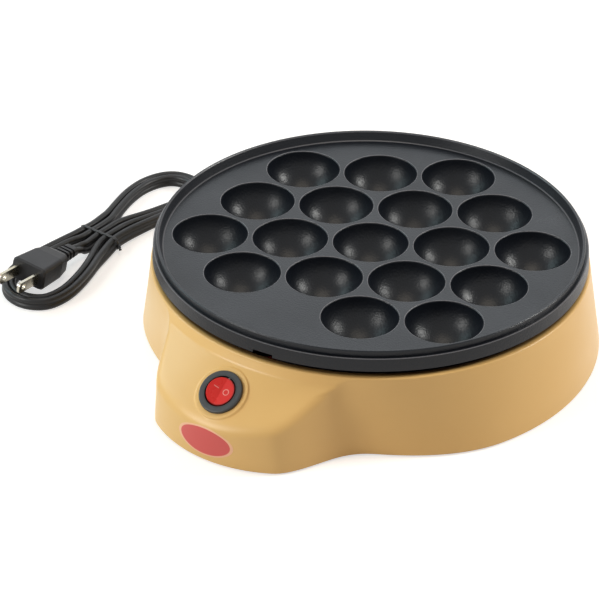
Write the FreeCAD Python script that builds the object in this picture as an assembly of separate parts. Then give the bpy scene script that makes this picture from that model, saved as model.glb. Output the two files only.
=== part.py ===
import FreeCAD, Part
import math
import os

# Takoyaki maker, millimetres. Everything is drawn about the plate's axis with the floor at z = 0 and the
# switch towards -Y, then moved so that the origin is the middle of the footprint. Bearings are degrees
# about the plate's axis, counted from the front towards +X.

# Heights above the floor
foot_height = 2.0              # rubber foot under the bottom cover
cover_recess = 1.0             # bottom cover up inside the housing's lower edge
wall_height = 44.85            # housing wall, lower edge to rim
band_height = 4.25             # steep band below the rim
plate_rise = 9.85              # rim to the plate's flat cooking surface
ledge_drop = 24.7              # plate's flat surface down to the ledge that carries it

# Housing, plan
tub_radius = 109.3             # well that the plate drops into
rim_land = 5.15                # the wall's rim lies this far outside the tub
base_flare = 7.25              # the wall spreads by this much from its rim to its lower edge
waist_dip = 9.2                # the round wall draws in beside the nose
waist_full_bearing = 28.0
waist_end_bearing = 68.0
nose_reach = 30.75             # the nose's front stands this far outside the rim
nose_radius = 70.0             # of its round front
nose_side_bearing = 65.7       # direction of the nose's straight sides
nose_half_width = 61.4         # distance of those sides from a point this far behind the front:
nose_depth = 70.0
nose_side_draft = 1.9          # the sides lean in by this much more than the front
nose_turn = 0.5                # the nose's plan is turned by this much to the left
nose_corner = 6.0
neck_blend = 8.0
nose_draft = 1.6               # the nose draws in by this much over the wall's height
nose_reach_bearing = 45.0      # the nose is inside the round wall beyond this bearing
nose_rim_bearing = 33.0        # and inside the rim beyond this one
rim_blend = 3.0

# Housing, section
wall = 2.4
nose_slope = 35.5              # top of the nose falls away from the plate
band_lean = 1.97               # the crease at the band's foot lies this far outside the rim
crest_rounding = 5.0
rounding_fade = 3.5            # the crest's rounding dies out over this height below the crease
rim_crown_height = 0.85
rim_crown_width = 1.25
tub_mouth_depth = 4.0          # the tub's bore starts this far below the crease
tub_wall = 2.2
ledge_width = 13.3             # inward from the tub's inner face
ledge_thickness = 2.4

# Plate
plate_thickness = 2.6
well_margin = 3.4              # corner wells stay this far inside the flat surface's edge
well_land = 1.6                # between the mouths of two wells
well_depth = 19.0
well_edge = 0.75
well_wall = 2.4
corner_factor = 2.0            # corner wells stand two pitches from the axis
bead_foot = 0.7                # bead, from its inner foot outward
bead_slope = 1.4
bead_width = 1.6
bead_height = 5.0
step_height = 1.5
step_width = 1.7
skirt_taper = 0.5
skirt_reveal = 0.95            # the skirt stays this far inside the rim
skirt_drop = 5.4
skirt_wall = 2.3
notch_bearing = 6.3            # small notch in the skirt's lower edge
notch_width = 11.0
notch_height = 1.6
post_inset = 8.3               # three posts that stand on the ledge, this far inside the tub
post_radius = 4.5
post_bearings = (90.0, 210.0, 330.0)

# Heating element
heater_inside_screw = 6.15     # ring of the tube, inside the straps' outer screws
tube_radius = 3.25
tube_drop = 21.5               # centre of the tube below the plate's flat surface
groove_clearance = 0.2
rib_half_width = 5.0
heater_gap = 20.0              # half the gap at the front, degrees
heater_bend = 9.0
heater_leg_end = 17.0
pin_radius = 1.25
pin_end = 9.0
pin_inside = 4.0
bead_radius = 3.6
bead_length = 3.0
bead_seat = 0.1
pin_sleeve_size = 5.0
pin_sleeve_low = 7.6
pin_sleeve_height = 6.0

# Heater straps
strap_width = 8.0
strap_thickness = 1.2
strap_gap = 0.1
strap_boss_radius = 4.0
strap_overhang = 4.0

# Heat shield
shield_thickness = 0.8
shield_flange_clearance = 0.4  # between its flange and the tub
shield_clearance = 0.6         # between its bowl and the ledge's inner edge
shield_draw = 4.0              # its floor starts this far inside the ledge
shield_floor = 21.0
leg_hole_radius = 4.0
washer_radius = 5.0
washer_thickness = 2.0

# Screws
m3_radius = 1.5
m3_head_radius = 2.9
m3_head_height = 1.8
m4_radius = 2.0
m4_head_radius = 4.0
m4_head_height = 2.4
hole_clearance = 0.25
thread_clearance = 0.05
thread_length = 7.0
recess_width = 0.7
recess_share = 0.62            # length of the cross recess against the head's diameter

# Thermostat, under the flat place at the front of the plate
thermostat_pad_radius = 11.0
thermostat_pad_drop = 4.6
cap_radius = 8.25
cap_height = 2.5
thermostat_body_radius = 7.3
thermostat_body_height = 6.6
bracket_thickness = 1.0
bracket_half_span = 12.5
bracket_width = 9.0
bracket_boss_radius = 3.5
blade_width = 4.8
blade_thickness = 0.8
blade_length = 7.0
thermostat_blade_spacing = 8.0

# Thermal fuse, clipped under the heat shield
fuse_place = (-40.0, -30.0)
fuse_radius = 1.9
fuse_length = 11.0
sleeve_radius = 2.6
sleeve_length = 15.0
clip_thickness = 0.6
clip_width = 5.0
clip_foot = 4.5
bush_left = 24.0               # wire bush, left of the plate's axis
bush_inset = 18.0              # and inside the edge of the shield's floor
bush_radius = 4.2
bush_flange_radius = 6.0
bush_flange = 1.0
bush_bore_offset = 2.0
bush_bore_clearance = 0.1

# Bottom cover, feet and label
cover_thickness = 2.2
cover_clearance = 0.35
cover_post_inset = 5.8         # inside the tub
cover_post_radius = 4.0
cover_post_bearings = (62.0, 118.0, -62.0, -118.0)
vent_count = 7
vent_pitch = 9.0
vent_length = 44.0
vent_width = 3.0
foot_inset = 12.3              # inside the tub
foot_radius = 6.5
foot_stem_radius = 2.5
foot_head_radius = 3.5
foot_head_height = 1.2
foot_bearings = (35.0, 145.0, -35.0, -145.0)
label_length = 52.0
label_width = 26.0
label_thickness = 0.2
label_place = (0.0, 62.0)

# Front label, an oval on the nose
badge_width = 33.0
badge_height = 16.0
badge_centre = 12.0
badge_thickness = 0.3

# Rocker switch, in its own frame: z out of the nose's slope, y up the slope
switch_setback = 15.5          # behind the nose's front edge
pad_radius = 14.0
pad_proud = 0.5
pad_depth = 4.0
switch_hole = 10.1
bezel_radius = 11.5
bezel_height = 1.8
barrel_radius = 9.95
barrel_depth = 14.0
window_radius = 8.25
window_floor = 6.5
snap_reach = 1.2
snap_width = 6.0
snap_length = 4.5
rocker_radius = 7.9
rocker_tilt = 10.0             # each half of its top rises outward by this much
rocker_travel = 20.0
rocker_pivot = -0.2
rocker_top = 2.5               # lowest line of its top above the pivot
rocker_skirt = 3.0             # its lower edge below the pivot
rocker_shell = 1.6
rocker_bore_clearance = 0.05
pivot_pin_radius = 0.8
pivot_pin_half_length = 9.2
lamp_radius = 1.5
lamp_length = 8.0
terminal_spacing = 6.0
terminal_reach = 8.0
terminal_root = 3.0
sleeve_wall = 0.7
push_on_length = 9.0
push_on_gap = 1.0

# Flat two-core cord, bushing and clamp
cord_thickness = 3.7
cord_width = 7.4
gland_height = 13.0
gland_boss_radius = 8.4
gland_boss_proud = 0.4         # beyond the wall at the boss's lower edge
gland_boss_length = 6.2
gland_bore = 5.5
bushing_flange_radius = 7.2
bushing_flange = 2.0
bushing_neck_radius = 5.3
bushing_root_radius = 5.6
bushing_tip_radius = 4.7
bushing_end = 149.3
bushing_ribs = 6
bushing_slot = 1.2
bushing_slot_depth = 0.5
clamp_inset = 8.3              # inside the tub
clamp_half_span = 11.0
clamp_post_radius = 3.5
clamp_bar = (30.0, 8.0, 3.0)
clamp_rib = (8.0, 3.0)
cord_past_clamp = 9.0
wire_radius = 1.2
wire_below_shield = 5.0           # straight stretches of the wires at the bush and under the thermostat
wire_above_shield = 7.5
wire_under_blade = 4.5

# Cord hank. Its outline runs from the step where the lead joins it, round the front loop and the rear loop.
strand_pitch = 3.9
lead_join = (-156.9, 12.0)
hank_outline = [
    lead_join, (-159.5, 1.6), (-159.5, -8.0), (-158.0, -13.9), (-153.4, -34.5), (-149.6, -48.1),
    (-146.6, -60.4), (-146.0, -72.0), (-147.6, -81.8), (-151.9, -87.3), (-160.3, -91.0), (-168.6, -90.7),
    (-178.3, -86.6), (-186.7, -79.3), (-190.4, -66.5), (-191.0, -56.0), (-189.0, -42.0), (-186.9, -26.3),
    (-184.6, -13.5), (-183.2, -4.0), (-187.8, 17.9), (-191.3, 31.4), (-192.3, 43.3), (-190.9, 53.4),
    (-187.3, 60.6), (-182.1, 65.9), (-175.0, 68.7), (-168.0, 69.2), (-160.0, 67.5), (-154.5, 62.0),
    (-152.0, 54.0), (-152.2, 46.0), (-155.2, 36.5), (-157.8, 26.0), (-160.2, 16.0), (-160.8, 13.1),
]
front_hole_rear = -22.0        # the strands lie packed side by side between these two lines
rear_hole_front = 17.0
tie_place = -13.0
tie_width = 1.8
tie_thickness = 0.8
tie_left = -184.6
tie_right = -157.9
tie_tail = [(-157.4, -13.0, 4.2), (-155.6, -14.6, 4.6), (-154.6, -16.6, 3.6)]
tie_tail_radius = 0.9

# Lead: from the bushing, behind the housing, to the hank. The last point is the hank's step.
lead_route = [
    (0.0, bushing_end, gland_height), (0.0, 158.5, 12.4), (-1.5, 168.5, 9.8), (-12.0, 179.0, 5.6),
    (-31.0, 184.0, 3.7), (-56.0, 180.0, 3.7), (-80.0, 167.0, 3.7), (-102.0, 147.0, 3.7),
    (-120.0, 123.0, 3.7), (-133.5, 99.0, 3.7), (-142.0, 79.0, 3.7), (-146.5, 62.5, 3.7),
    (-149.2, 49.0, 3.7), (-152.4, 38.0, 3.7), (-155.1, 28.5, 3.7), (-157.3, 19.6, 3.7),
    (-158.85, 12.55, 3.7),
]

# Plug, in its own frame: origin at the middle of the front face, y towards the cord, z up
plug_place = (-170.2, -76.9, 12.9)
plug_yaw = 3.9
plug_pitch = 8.0
plug_roll = 6.9
plug_sections = [
    (0.0, 20.4, 11.6), (1.2, 21.6, 12.8), (18.0, 19.6, 12.4), (25.0, 16.6, 10.6), (27.4, 13.6, 8.6),
]
plug_corner = 2.6
neck_sections = [(27.4, 9.8, 6.6), (41.4, 8.4, 5.2)]
neck_corner = 2.0
neck_slots = 3
neck_slot = 1.6
neck_slot_depth = 0.8
plug_blade_spacing = 12.7
plug_blade_width = 6.35
plug_blade_thickness = 1.5
plug_blade_length = 17.0
plug_blade_inside = 8.0
plug_blade_hole = 1.55
plug_blade_hole_from_tip = 4.0
tail_radius = 2.5
tail_foot = (-171.3, -19.0)       # where the tail comes up from among the packed strands

# Worked out from the above
rim_radius = tub_radius + rim_land
base_radius = rim_radius + base_flare
crease_radius = rim_radius + band_lean
crease_height = wall_height - band_height
flat_height = wall_height + plate_rise
nose_front = rim_radius + nose_reach
nose_centre = nose_front - nose_radius
nose_side_offset = nose_half_width + (nose_front - nose_depth) * math.cos(math.radians(nose_side_bearing))
skirt_radius = rim_radius - skirt_reveal
step_radius = skirt_radius - skirt_taper
bead_outer = step_radius - step_width
bead_inner_top = bead_outer - bead_width
bead_inner_foot = bead_inner_top - bead_slope
flat_radius = bead_inner_foot - bead_foot
well_pitch = (flat_radius - well_margin + well_land / 2) / (corner_factor + 0.5)
well_mouth = (well_pitch - well_land) / 2
post_ring = tub_radius - post_inset
cover_post_ring = tub_radius - cover_post_inset
foot_ring = tub_radius - foot_inset
clamp_place = tub_radius - clamp_inset
cord_inside_end = clamp_place - cord_past_clamp
shield_flange = tub_radius - shield_flange_clearance
thermostat_ring = well_pitch * corner_factor
edge_z = foot_height - cover_recess
rim_z = edge_z + wall_height
crown_z = rim_z + rim_crown_height
flat_z = edge_z + flat_height
tube_height = flat_z - tube_drop
underside_z = flat_z - plate_thickness
ledge_top = flat_z - ledge_drop
ledge_bottom = ledge_top - ledge_thickness
ledge_inner = tub_radius - ledge_width
shield_floor_radius = ledge_inner - shield_draw
bush_place = (-bush_left, bush_inset - shield_floor_radius)
shield_top = ledge_top + shield_thickness
post_bottom = shield_top + washer_thickness
shield_floor_top = shield_floor + shield_thickness
strap_top = tube_height - tube_radius - strap_gap
strap_bottom = strap_top - strap_thickness
cover_top = foot_height + cover_thickness
switch_ring = nose_front - switch_setback
gland_share = (gland_height - gland_boss_radius - edge_z) / wall_height
gland_boss_out = base_radius - base_flare * gland_share + gland_boss_proud
gland_boss_in = gland_boss_out - gland_boss_length
plate_y = (nose_front - base_radius) / 2
bowl_rise = (well_depth ** 2 - (well_mouth - well_edge) ** 2 - well_edge ** 2)
bowl_centre = flat_z - bowl_rise / (2 * (well_depth - well_edge))
bowl_radius = bowl_centre - (flat_z - well_depth)
well_outer = bowl_radius + well_wall
interstice = well_pitch / math.sqrt(3)
heater_ring = math.hypot(2.5 * interstice, well_pitch / 2) - heater_inside_screw


def vec(x, y, z=0.0):
    return FreeCAD.Vector(x, y, z)


def polar(radius, bearing, z=0.0):
    turn = math.radians(bearing)
    return vec(radius * math.sin(turn), -radius * math.cos(turn), z)


def rod(radius, low, high, centre=None):
    place = centre or vec(0, 0)
    return Part.makeCylinder(radius, high - low, vec(place.x, place.y, low))


def washer(outer, inner, low, high, centre=None):
    return rod(outer, low, high, centre).cut(rod(inner, low - 1, high + 1, centre))


def block(size_x, size_y, low, high, centre):
    corner = vec(centre.x - size_x / 2, centre.y - size_y / 2, low)
    return Part.makeBox(size_x, size_y, high - low, corner)


def revolve(points, axis=None):
    corners = [vec(r, 0, z) for r, z in points]
    face = Part.Face(Part.makePolygon(corners + corners[:1]))
    return face.revolve(vec(0, 0), axis or vec(0, 0, 1), 360)


def join(shapes):
    whole = shapes[0]
    for shape in shapes[1:]:
        whole = whole.fuse(shape)
    return whole.removeSplitter()


def carve(whole, tools):
    for tool in tools:
        whole = whole.cut(tool)
    return whole


def spin(shape, bearing):
    turned = shape.copy()
    turned.rotate(vec(0, 0), vec(0, 0, 1), bearing)
    return turned


def save(name, shapes):
    solids = shapes if isinstance(shapes, list) else [shapes]
    parts = [solid for shape in solids for solid in shape.Solids]
    for part in parts:
        part.translate(vec(0, plate_y))
    result = parts[0] if len(parts) == 1 else Part.makeCompound(parts)
    result.exportStep(os.path.join("parts", name + ".step"))
    valid = all(p.isValid() for p in parts)
    print(name, "solids", len(parts), "valid", valid, "volume", round(result.Volume))


# ---- Screws ----

def screw(radius, head_radius, head_height, place, length):
    """Screw driven upward: place is the underside of its head's seat, the head hangs below it."""
    head_low = place.z - head_height
    whole = rod(radius, place.z, place.z + length, place).fuse(rod(head_radius, head_low, place.z, place))
    slot = 2 * head_radius * recess_share
    depth = head_low + head_height / 2
    whole = whole.cut(block(slot, recess_width, head_low - 1, depth, place))
    return whole.cut(block(recess_width, slot, head_low - 1, depth, place)).removeSplitter()


def m3_screw(place, grip):
    return screw(m3_radius, m3_head_radius, m3_head_height, place, grip + thread_length)


def m4_screw(place, grip):
    return screw(m4_radius, m4_head_radius, m4_head_height, place, grip + thread_length)


def thread_hole(radius, place):
    return rod(radius + thread_clearance, place.z - 1, place.z + thread_length + 1, place)


# ---- Housing ----

def smoothstep(value):
    part = min(1.0, max(0.0, value))
    return part * part * (3 - 2 * part)


def smooth_min(a, b, blend):
    if blend <= 0 or abs(a - b) >= blend:
        return min(a, b)
    return min(a, b) - (blend - abs(a - b)) ** 2 / (4 * blend)


def smooth_max(a, b, blend):
    return -smooth_min(-a, -b, blend)


def edge_plan(bearing, lean=0.0):
    """Radius of the wall's lower edge: a round body with a nose at the front."""
    away = abs(bearing + nose_turn)
    span = waist_end_bearing - waist_full_bearing
    body = base_radius - waist_dip * smoothstep((waist_end_bearing - away) / span)
    if away > nose_reach_bearing:
        return body
    turn = math.radians(away)
    side_turn = math.radians(nose_side_bearing)
    front = nose_centre * math.cos(turn) + math.sqrt(nose_radius ** 2 - (nose_centre * math.sin(turn)) ** 2)
    side = (nose_side_offset - lean) / math.cos(side_turn - turn)
    return smooth_max(smooth_min(front, side, nose_corner), body, neck_blend)


def rim_plan(bearing):
    """The nose's walls carried up to the rim's height with their own draft, or the round rim."""
    if abs(bearing) > nose_rim_bearing:
        return rim_radius
    return smooth_max(rim_radius, edge_plan(bearing, nose_side_draft) - nose_draft, rim_blend)


def wall_radius(bearing, z):
    share = min(1.0, (z - edge_z) / wall_height)
    return edge_plan(bearing) * (1 - share) + rim_plan(bearing) * share


def slope_radius(z):
    """Radius at which the nose's sloping top is at height z."""
    return crease_radius - (z - edge_z - crease_height) / math.tan(math.radians(nose_slope))


def band_radius(z):
    """Steep band from the crease above the slope up to the rim."""
    share = (z - edge_z - crease_height) / band_height
    return crease_radius + (rim_radius - crease_radius) * share


def crown_inset(z):
    if z <= rim_z:
        return 0.0
    rise = min(1.0, (z - rim_z) / rim_crown_height)
    return rim_crown_width * (1 - math.sqrt(1 - rise * rise))


def skin_radius(bearing, z):
    """Outer skin of the housing."""
    crease_z = edge_z + crease_height
    blend = crest_rounding * min(1.0, max(0.0, (crease_z - z) / rounding_fade))
    top = max(slope_radius(z), band_radius(max(z, crease_z))) if z > crease_z else slope_radius(z)
    return smooth_min(wall_radius(bearing, z), max(top, rim_radius), blend) - crown_inset(z)


def lining_radius(bearing, z):
    """Inner skin: one wall inside the outer one, measured square to it."""
    drop = wall / math.cos(math.radians(nose_slope))
    step = 1.0
    outer = wall_radius(bearing, z)
    change = (wall_radius(bearing + step, z) - wall_radius(bearing - step, z)) / math.radians(2 * step)
    side = outer - wall * math.sqrt(1 + (change / outer) ** 2)
    return smooth_min(side, max(slope_radius(z + drop), tub_radius), crest_rounding - wall)


def plan_bearings():
    fine = [3.0 * i for i in range(-24, 25)]
    coarse = [84.0 + 12.0 * i for i in range(17)]
    return fine + coarse


def plan_wire(radius_at, z, grow=0.0):
    bearings = plan_bearings()
    points = [polar(radius_at(b if b <= 180 else b - 360, z) + grow, b, z) for b in bearings]
    curve = Part.BSplineCurve()
    turns = [math.radians(b) for b in bearings] + [math.radians(bearings[0] + 360)]
    curve.interpolate(Points=points, PeriodicFlag=True, Parameters=turns)
    return Part.Wire(curve.toShape())


# Heights of the slices through the moulding, as shares of the crease's height and of the band's
skin_shares = (0.0, 0.197, 0.394, 0.493, 0.542, 0.591, 0.64, 0.702, 0.764, 0.837, 0.911, 0.973)
band_shares = (0.165, 0.612)
lining_shares = (0.197, 0.345, 0.443, 0.493, 0.542, 0.591, 0.653, 0.714, 0.788, 0.862, 0.936, 0.985, 1.025)


def skin(grow=0.0):
    levels = [edge_z + crease_height * share for share in skin_shares]
    levels += [edge_z + crease_height + band_height * share for share in band_shares]
    levels += [rim_z + rim_crown_height * share for share in (0.0, 0.5, 0.82, 1.0)]
    return Part.makeLoft([plan_wire(skin_radius, z, grow) for z in levels], True, True)


def lining():
    levels = [edge_z - 1] + [edge_z + crease_height * share for share in lining_shares]
    return Part.makeLoft([plan_wire(lining_radius, z) for z in levels], True, True)


def switch_frame(shape):
    """Puts a shape drawn in the switch's frame on the nose's slope."""
    height = edge_z + crease_height - (switch_ring - crease_radius) * math.tan(math.radians(nose_slope))
    tilt = FreeCAD.Rotation(vec(1, 0, 0), nose_slope)
    placed = shape.copy()
    placed.Placement = FreeCAD.Placement(vec(0, -switch_ring, height), tilt).multiply(placed.Placement)
    return placed


def along_y(shape):
    """Turns a shape drawn about +Z so that its axis runs along +Y at the gland's height."""
    placed = shape.copy()
    placed.rotate(vec(0, 0), vec(1, 0, 0), -90)
    placed.translate(vec(0, 0, gland_height))
    return placed


def cord_prism(start, end, grow=0.0):
    """Flat cord standing on edge, straight along +Y at the gland's height."""
    half = cord_thickness / 2 + grow
    reach = cord_width / 2 - cord_thickness / 2
    flat = Part.makeBox(2 * half, end - start, 2 * reach, vec(-half, start, gland_height - reach))
    ends = [Part.makeCylinder(half, end - start, vec(0, start, gland_height + side * reach), vec(0, 1, 0))
            for side in (-1, 1)]
    return join([flat] + ends)


def clamp_posts():
    return [vec(side * clamp_half_span, clamp_place) for side in (-1, 1)]


def clamp_top():
    return gland_height - cord_width / 2


def ledge():
    tub = washer(tub_radius + tub_wall, tub_radius, ledge_bottom, rim_z - 1)
    shelf = washer(tub_radius + tub_wall, ledge_inner, ledge_bottom, ledge_top)
    return [tub, shelf]


def housing_posts():
    overlap = ledge_thickness / 2
    feet = [polar(cover_post_ring, b) for b in cover_post_bearings]
    posts = [rod(cover_post_radius, cover_top, ledge_bottom + overlap, place) for place in feet]
    posts += [rod(clamp_post_radius, clamp_top(), ledge_bottom + overlap, place) for place in clamp_posts()]
    rib_low = gland_height + cord_width / 2
    rib = block(clamp_rib[0], clamp_rib[1], rib_low, ledge_bottom + overlap, vec(0, clamp_place))
    return posts + [rib]


def housing():
    shell = skin().cut(lining()).cut(rod(tub_radius, edge_z + crease_height - tub_mouth_depth, crown_z + 1))
    shell = shell.fuse(switch_frame(rod(pad_radius, -pad_depth, pad_proud)))
    shell = shell.cut(switch_frame(rod(switch_hole, -pad_depth - 1, pad_proud + 1)))
    shell = shell.fuse(along_y(rod(gland_boss_radius, gland_boss_in, gland_boss_out)))
    shell = shell.cut(along_y(rod(gland_bore, gland_boss_in - 1, gland_boss_out + 1)))
    for piece in ledge() + housing_posts():
        shell = shell.fuse(piece)
    holes = [rod(m4_radius + hole_clearance, ledge_bottom - 1, ledge_top + 1, polar(post_ring, b))
             for b in post_bearings]
    holes += [thread_hole(m3_radius, polar(cover_post_ring, b, cover_top)) for b in cover_post_bearings]
    holes += [thread_hole(m3_radius, vec(p.x, p.y, clamp_top())) for p in clamp_posts()]
    return carve(shell, holes)


def front_label():
    """Thin oval that follows the nose's front wall."""
    oval = Part.Wire(Part.Ellipse(vec(0, 0), badge_width / 2, badge_height / 2).toShape())
    cutter = Part.Face(oval).extrude(vec(0, 0, nose_radius))
    cutter.rotate(vec(0, 0), vec(1, 0, 0), 90)
    cutter.translate(vec(0, -nose_centre, badge_centre))
    return skin(badge_thickness).common(cutter).cut(skin())


# ---- Bottom cover and feet ----

def bottom_cover():
    outline = plan_wire(lining_radius, cover_top, -cover_clearance)
    outline.translate(vec(0, 0, -cover_thickness))
    plate = Part.Face(outline).extrude(vec(0, 0, cover_thickness))
    low = foot_height - 1
    high = cover_top + 1
    posts = [polar(cover_post_ring, b) for b in cover_post_bearings]
    holes = [rod(m3_radius + hole_clearance, low, high, place) for place in posts]
    holes += [rod(foot_stem_radius, low, high, polar(foot_ring, b)) for b in foot_bearings]
    first = -(vent_count - 1) / 2
    for row in range(vent_count):
        centre = vec(0, (first + row) * vent_pitch)
        holes.append(block(vent_length, vent_width, low, high, centre))
    seat_top = foot_height + m3_head_height / 2
    seats = [rod(m3_head_radius + hole_clearance, low, seat_top, place) for place in posts]
    return plate.cut(holes + seats)


def cover_screws():
    seat = foot_height + m3_head_height / 2
    grip = cover_top - seat
    return [m3_screw(polar(cover_post_ring, b, seat), grip) for b in cover_post_bearings]


def rubber_feet():
    feet = []
    for b in foot_bearings:
        place = polar(foot_ring, b)
        pad = rod(foot_radius, 0, foot_height, place)
        stem = rod(foot_stem_radius, 0, cover_top + foot_head_height, place)
        head = rod(foot_head_radius, cover_top, cover_top + foot_head_height, place)
        feet.append(join([pad, stem, head]))
    return feet


def base_label():
    centre = vec(label_place[0], label_place[1])
    return block(label_length, label_width, foot_height - label_thickness, foot_height, centre)


# ---- Cooking plate ----

def well_places():
    """One in the middle, a ring of six, six between them and five corners; the front corner stays flat."""
    places = [vec(0, 0)]
    places += [polar(well_pitch, 60 * i) for i in range(6)]
    places += [polar(well_pitch * math.sqrt(3), 30 + 60 * i) for i in range(6)]
    places += [polar(well_pitch * corner_factor, 60 * i) for i in range(1, 6)]
    return places


def well_cutter(place):
    rim_low = flat_z - well_edge
    edge_radius = well_mouth - well_edge
    eighth = math.radians(45)
    inset_share = 1 - math.cos(eighth)
    bowl = Part.Arc(vec(0, 0, flat_z - well_depth),
                    vec(bowl_radius * math.sin(eighth), 0, bowl_centre - bowl_radius * math.cos(eighth)),
                    vec(edge_radius, 0, rim_low)).toShape()
    lip = Part.Arc(vec(edge_radius, 0, rim_low),
                   vec(edge_radius + well_edge * inset_share, 0, flat_z - well_edge * inset_share),
                   vec(well_mouth, 0, flat_z)).toShape()
    top = flat_z + 2
    outline = Part.makePolygon([vec(well_mouth, 0, flat_z), vec(well_mouth, 0, top), vec(0, 0, top),
                                vec(0, 0, flat_z - well_depth)])
    face = Part.Face(Part.Wire([bowl, lip] + outline.Edges))
    tool = face.revolve(vec(0, 0), vec(0, 0, 1), 360)
    tool.translate(place)
    return tool


def well_bowl(place):
    """Outside of a well, cut off flat inside the plate's thickness."""
    cut = math.degrees(math.asin((flat_z - plate_thickness / 2 - bowl_centre) / well_outer))
    return Part.makeSphere(well_outer, vec(place.x, place.y, bowl_centre), vec(0, 0, 1), -90, cut, 360)


def plate_disc():
    crest = flat_z + bead_height
    return revolve([
        (0, flat_z), (flat_radius, flat_z), (bead_inner_foot, flat_z + 0.5), (bead_inner_top, crest - 0.5),
        (bead_inner_top + 0.4, crest), (bead_outer - 0.4, crest), (bead_outer, crest - 0.5),
        (bead_outer, flat_z + step_height), (step_radius, flat_z + step_height),
        (skirt_radius, flat_z - skirt_drop), (skirt_radius - skirt_wall, flat_z - skirt_drop),
        (skirt_radius - skirt_wall - 1, underside_z), (0, underside_z)])


def strap_ends():
    near = vec(2 * interstice, 0)
    far = vec(2.5 * interstice, -well_pitch / 2)
    return near, far


def heater_rib():
    return washer(heater_ring + rib_half_width, heater_ring - rib_half_width, tube_height, underside_z + 0.5)


def plate_posts():
    top = underside_z + 0.5
    posts = [rod(post_radius, post_bottom, top, polar(post_ring, b)) for b in post_bearings]
    for place in strap_ends():
        boss = rod(strap_boss_radius, strap_top, top, place)
        posts += [spin(boss, 120 * i) for i in range(3)]
    pad = polar(thermostat_ring, 0)
    posts.append(rod(thermostat_pad_radius, underside_z + plate_thickness - thermostat_pad_drop, top, pad))
    posts += [rod(bracket_boss_radius, bracket_top(), top, place) for place in bracket_ends()]
    return posts


def plate_notch():
    low = flat_z - skirt_drop - 1
    cut = block(notch_width, 3 * skirt_wall, low, low + 1 + notch_height, vec(0, -skirt_radius))
    return spin(cut, notch_bearing)


def cooking_plate():
    places = well_places()
    whole = join([plate_disc(), heater_rib()] + [well_bowl(p) for p in places] + plate_posts())
    groove = Part.makeTorus(heater_ring, tube_radius + groove_clearance, vec(0, 0, tube_height))
    cuts = [well_cutter(p) for p in places] + [groove, plate_notch()]
    cuts += [thread_hole(m4_radius, polar(post_ring, b, post_bottom)) for b in post_bearings]
    for place in strap_ends():
        hole = thread_hole(m3_radius, vec(place.x, place.y, strap_top))
        cuts += [spin(hole, 120 * i) for i in range(3)]
    cuts += [thread_hole_short(place) for place in bracket_ends()]
    return carve(whole, cuts)


def thread_hole_short(place):
    return rod(m3_radius + thread_clearance, bracket_top() - 1, underside_z + 0.5, place)


def plate_washers():
    return [washer(washer_radius, m4_radius + hole_clearance, shield_top, post_bottom, polar(post_ring, b))
            for b in post_bearings]


def plate_screws():
    grip = post_bottom - ledge_bottom
    return [m4_screw(polar(post_ring, b, ledge_bottom), grip) for b in post_bearings]


# ---- Heating element ----

def sweep_round(edges, radius):
    """Round bar along tangent lines and arcs."""
    path = Part.Wire(edges)
    start = path.OrderedVertexes[0].Point
    first = path.OrderedEdges[0]
    away = first.tangentAt(first.FirstParameter)
    if (first.valueAt(first.FirstParameter) - start).Length > 1e-6:
        away = first.tangentAt(first.LastParameter) * -1
    ring_edge = Part.Circle(start, away, radius).toShape()
    return path.makePipeShell([Part.Wire(ring_edge)], True, False)


def heater_legs():
    """Foot of each leg of the element: the ring's end, carried on along its tangent by one bend."""
    legs = []
    for side in (-1, 1):
        end = polar(heater_ring, side * heater_gap, tube_height)
        tangent = polar(1, side * (heater_gap - 90))
        legs.append((end, tangent, end + tangent * heater_bend))
    return legs


def heating_element():
    left, right = heater_legs()
    back = polar(heater_ring, 180, tube_height)
    edges = [Part.Arc(left[0], back, right[0]).toShape()]
    for end, tangent, foot in (left, right):
        middle = end + tangent * (heater_bend * math.sin(math.pi / 4))
        middle.z -= heater_bend * (1 - math.cos(math.pi / 4))
        corner = vec(foot.x, foot.y, tube_height - heater_bend)
        edges.append(Part.Arc(end, middle, corner).toShape())
        edges.append(Part.makeLine(corner, vec(foot.x, foot.y, heater_leg_end)))
    tube = sweep_round(Part.__sortEdges__(edges), tube_radius)
    bores = [rod(pin_radius, heater_leg_end - 1, heater_leg_end + pin_inside, foot)
             for _, _, foot in heater_legs()]
    return tube.cut(bores)


def heater_pins():
    return [rod(pin_radius, pin_end, heater_leg_end + pin_inside, foot) for _, _, foot in heater_legs()]


def terminal_beads():
    top = heater_leg_end - bead_seat
    return [washer(bead_radius, pin_radius + bead_seat, top - bead_length, top, foot)
            for _, _, foot in heater_legs()]


def strap():
    near, far = strap_ends()
    run = far - near
    length = run.Length + 2 * strap_overhang
    corner = vec(-strap_overhang, -strap_width / 2, strap_bottom)
    bar = Part.makeBox(length, strap_width, strap_thickness, corner)
    for place in (vec(0, 0), vec(run.Length, 0)):
        bar = bar.cut(rod(m3_radius + hole_clearance, strap_bottom - 1, strap_top + 1, place))
    bar.rotate(vec(0, 0), vec(0, 0, 1), math.degrees(math.atan2(run.y, run.x)))
    bar.translate(near)
    return bar


def heater_straps():
    return [spin(strap(), 120 * i) for i in range(3)]


def strap_screws():
    screws = []
    for place in strap_ends():
        one = m3_screw(vec(place.x, place.y, strap_bottom), strap_thickness)
        screws += [spin(one, 120 * i) for i in range(3)]
    return screws


# ---- Heat shield, thermostat and fuse ----

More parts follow.
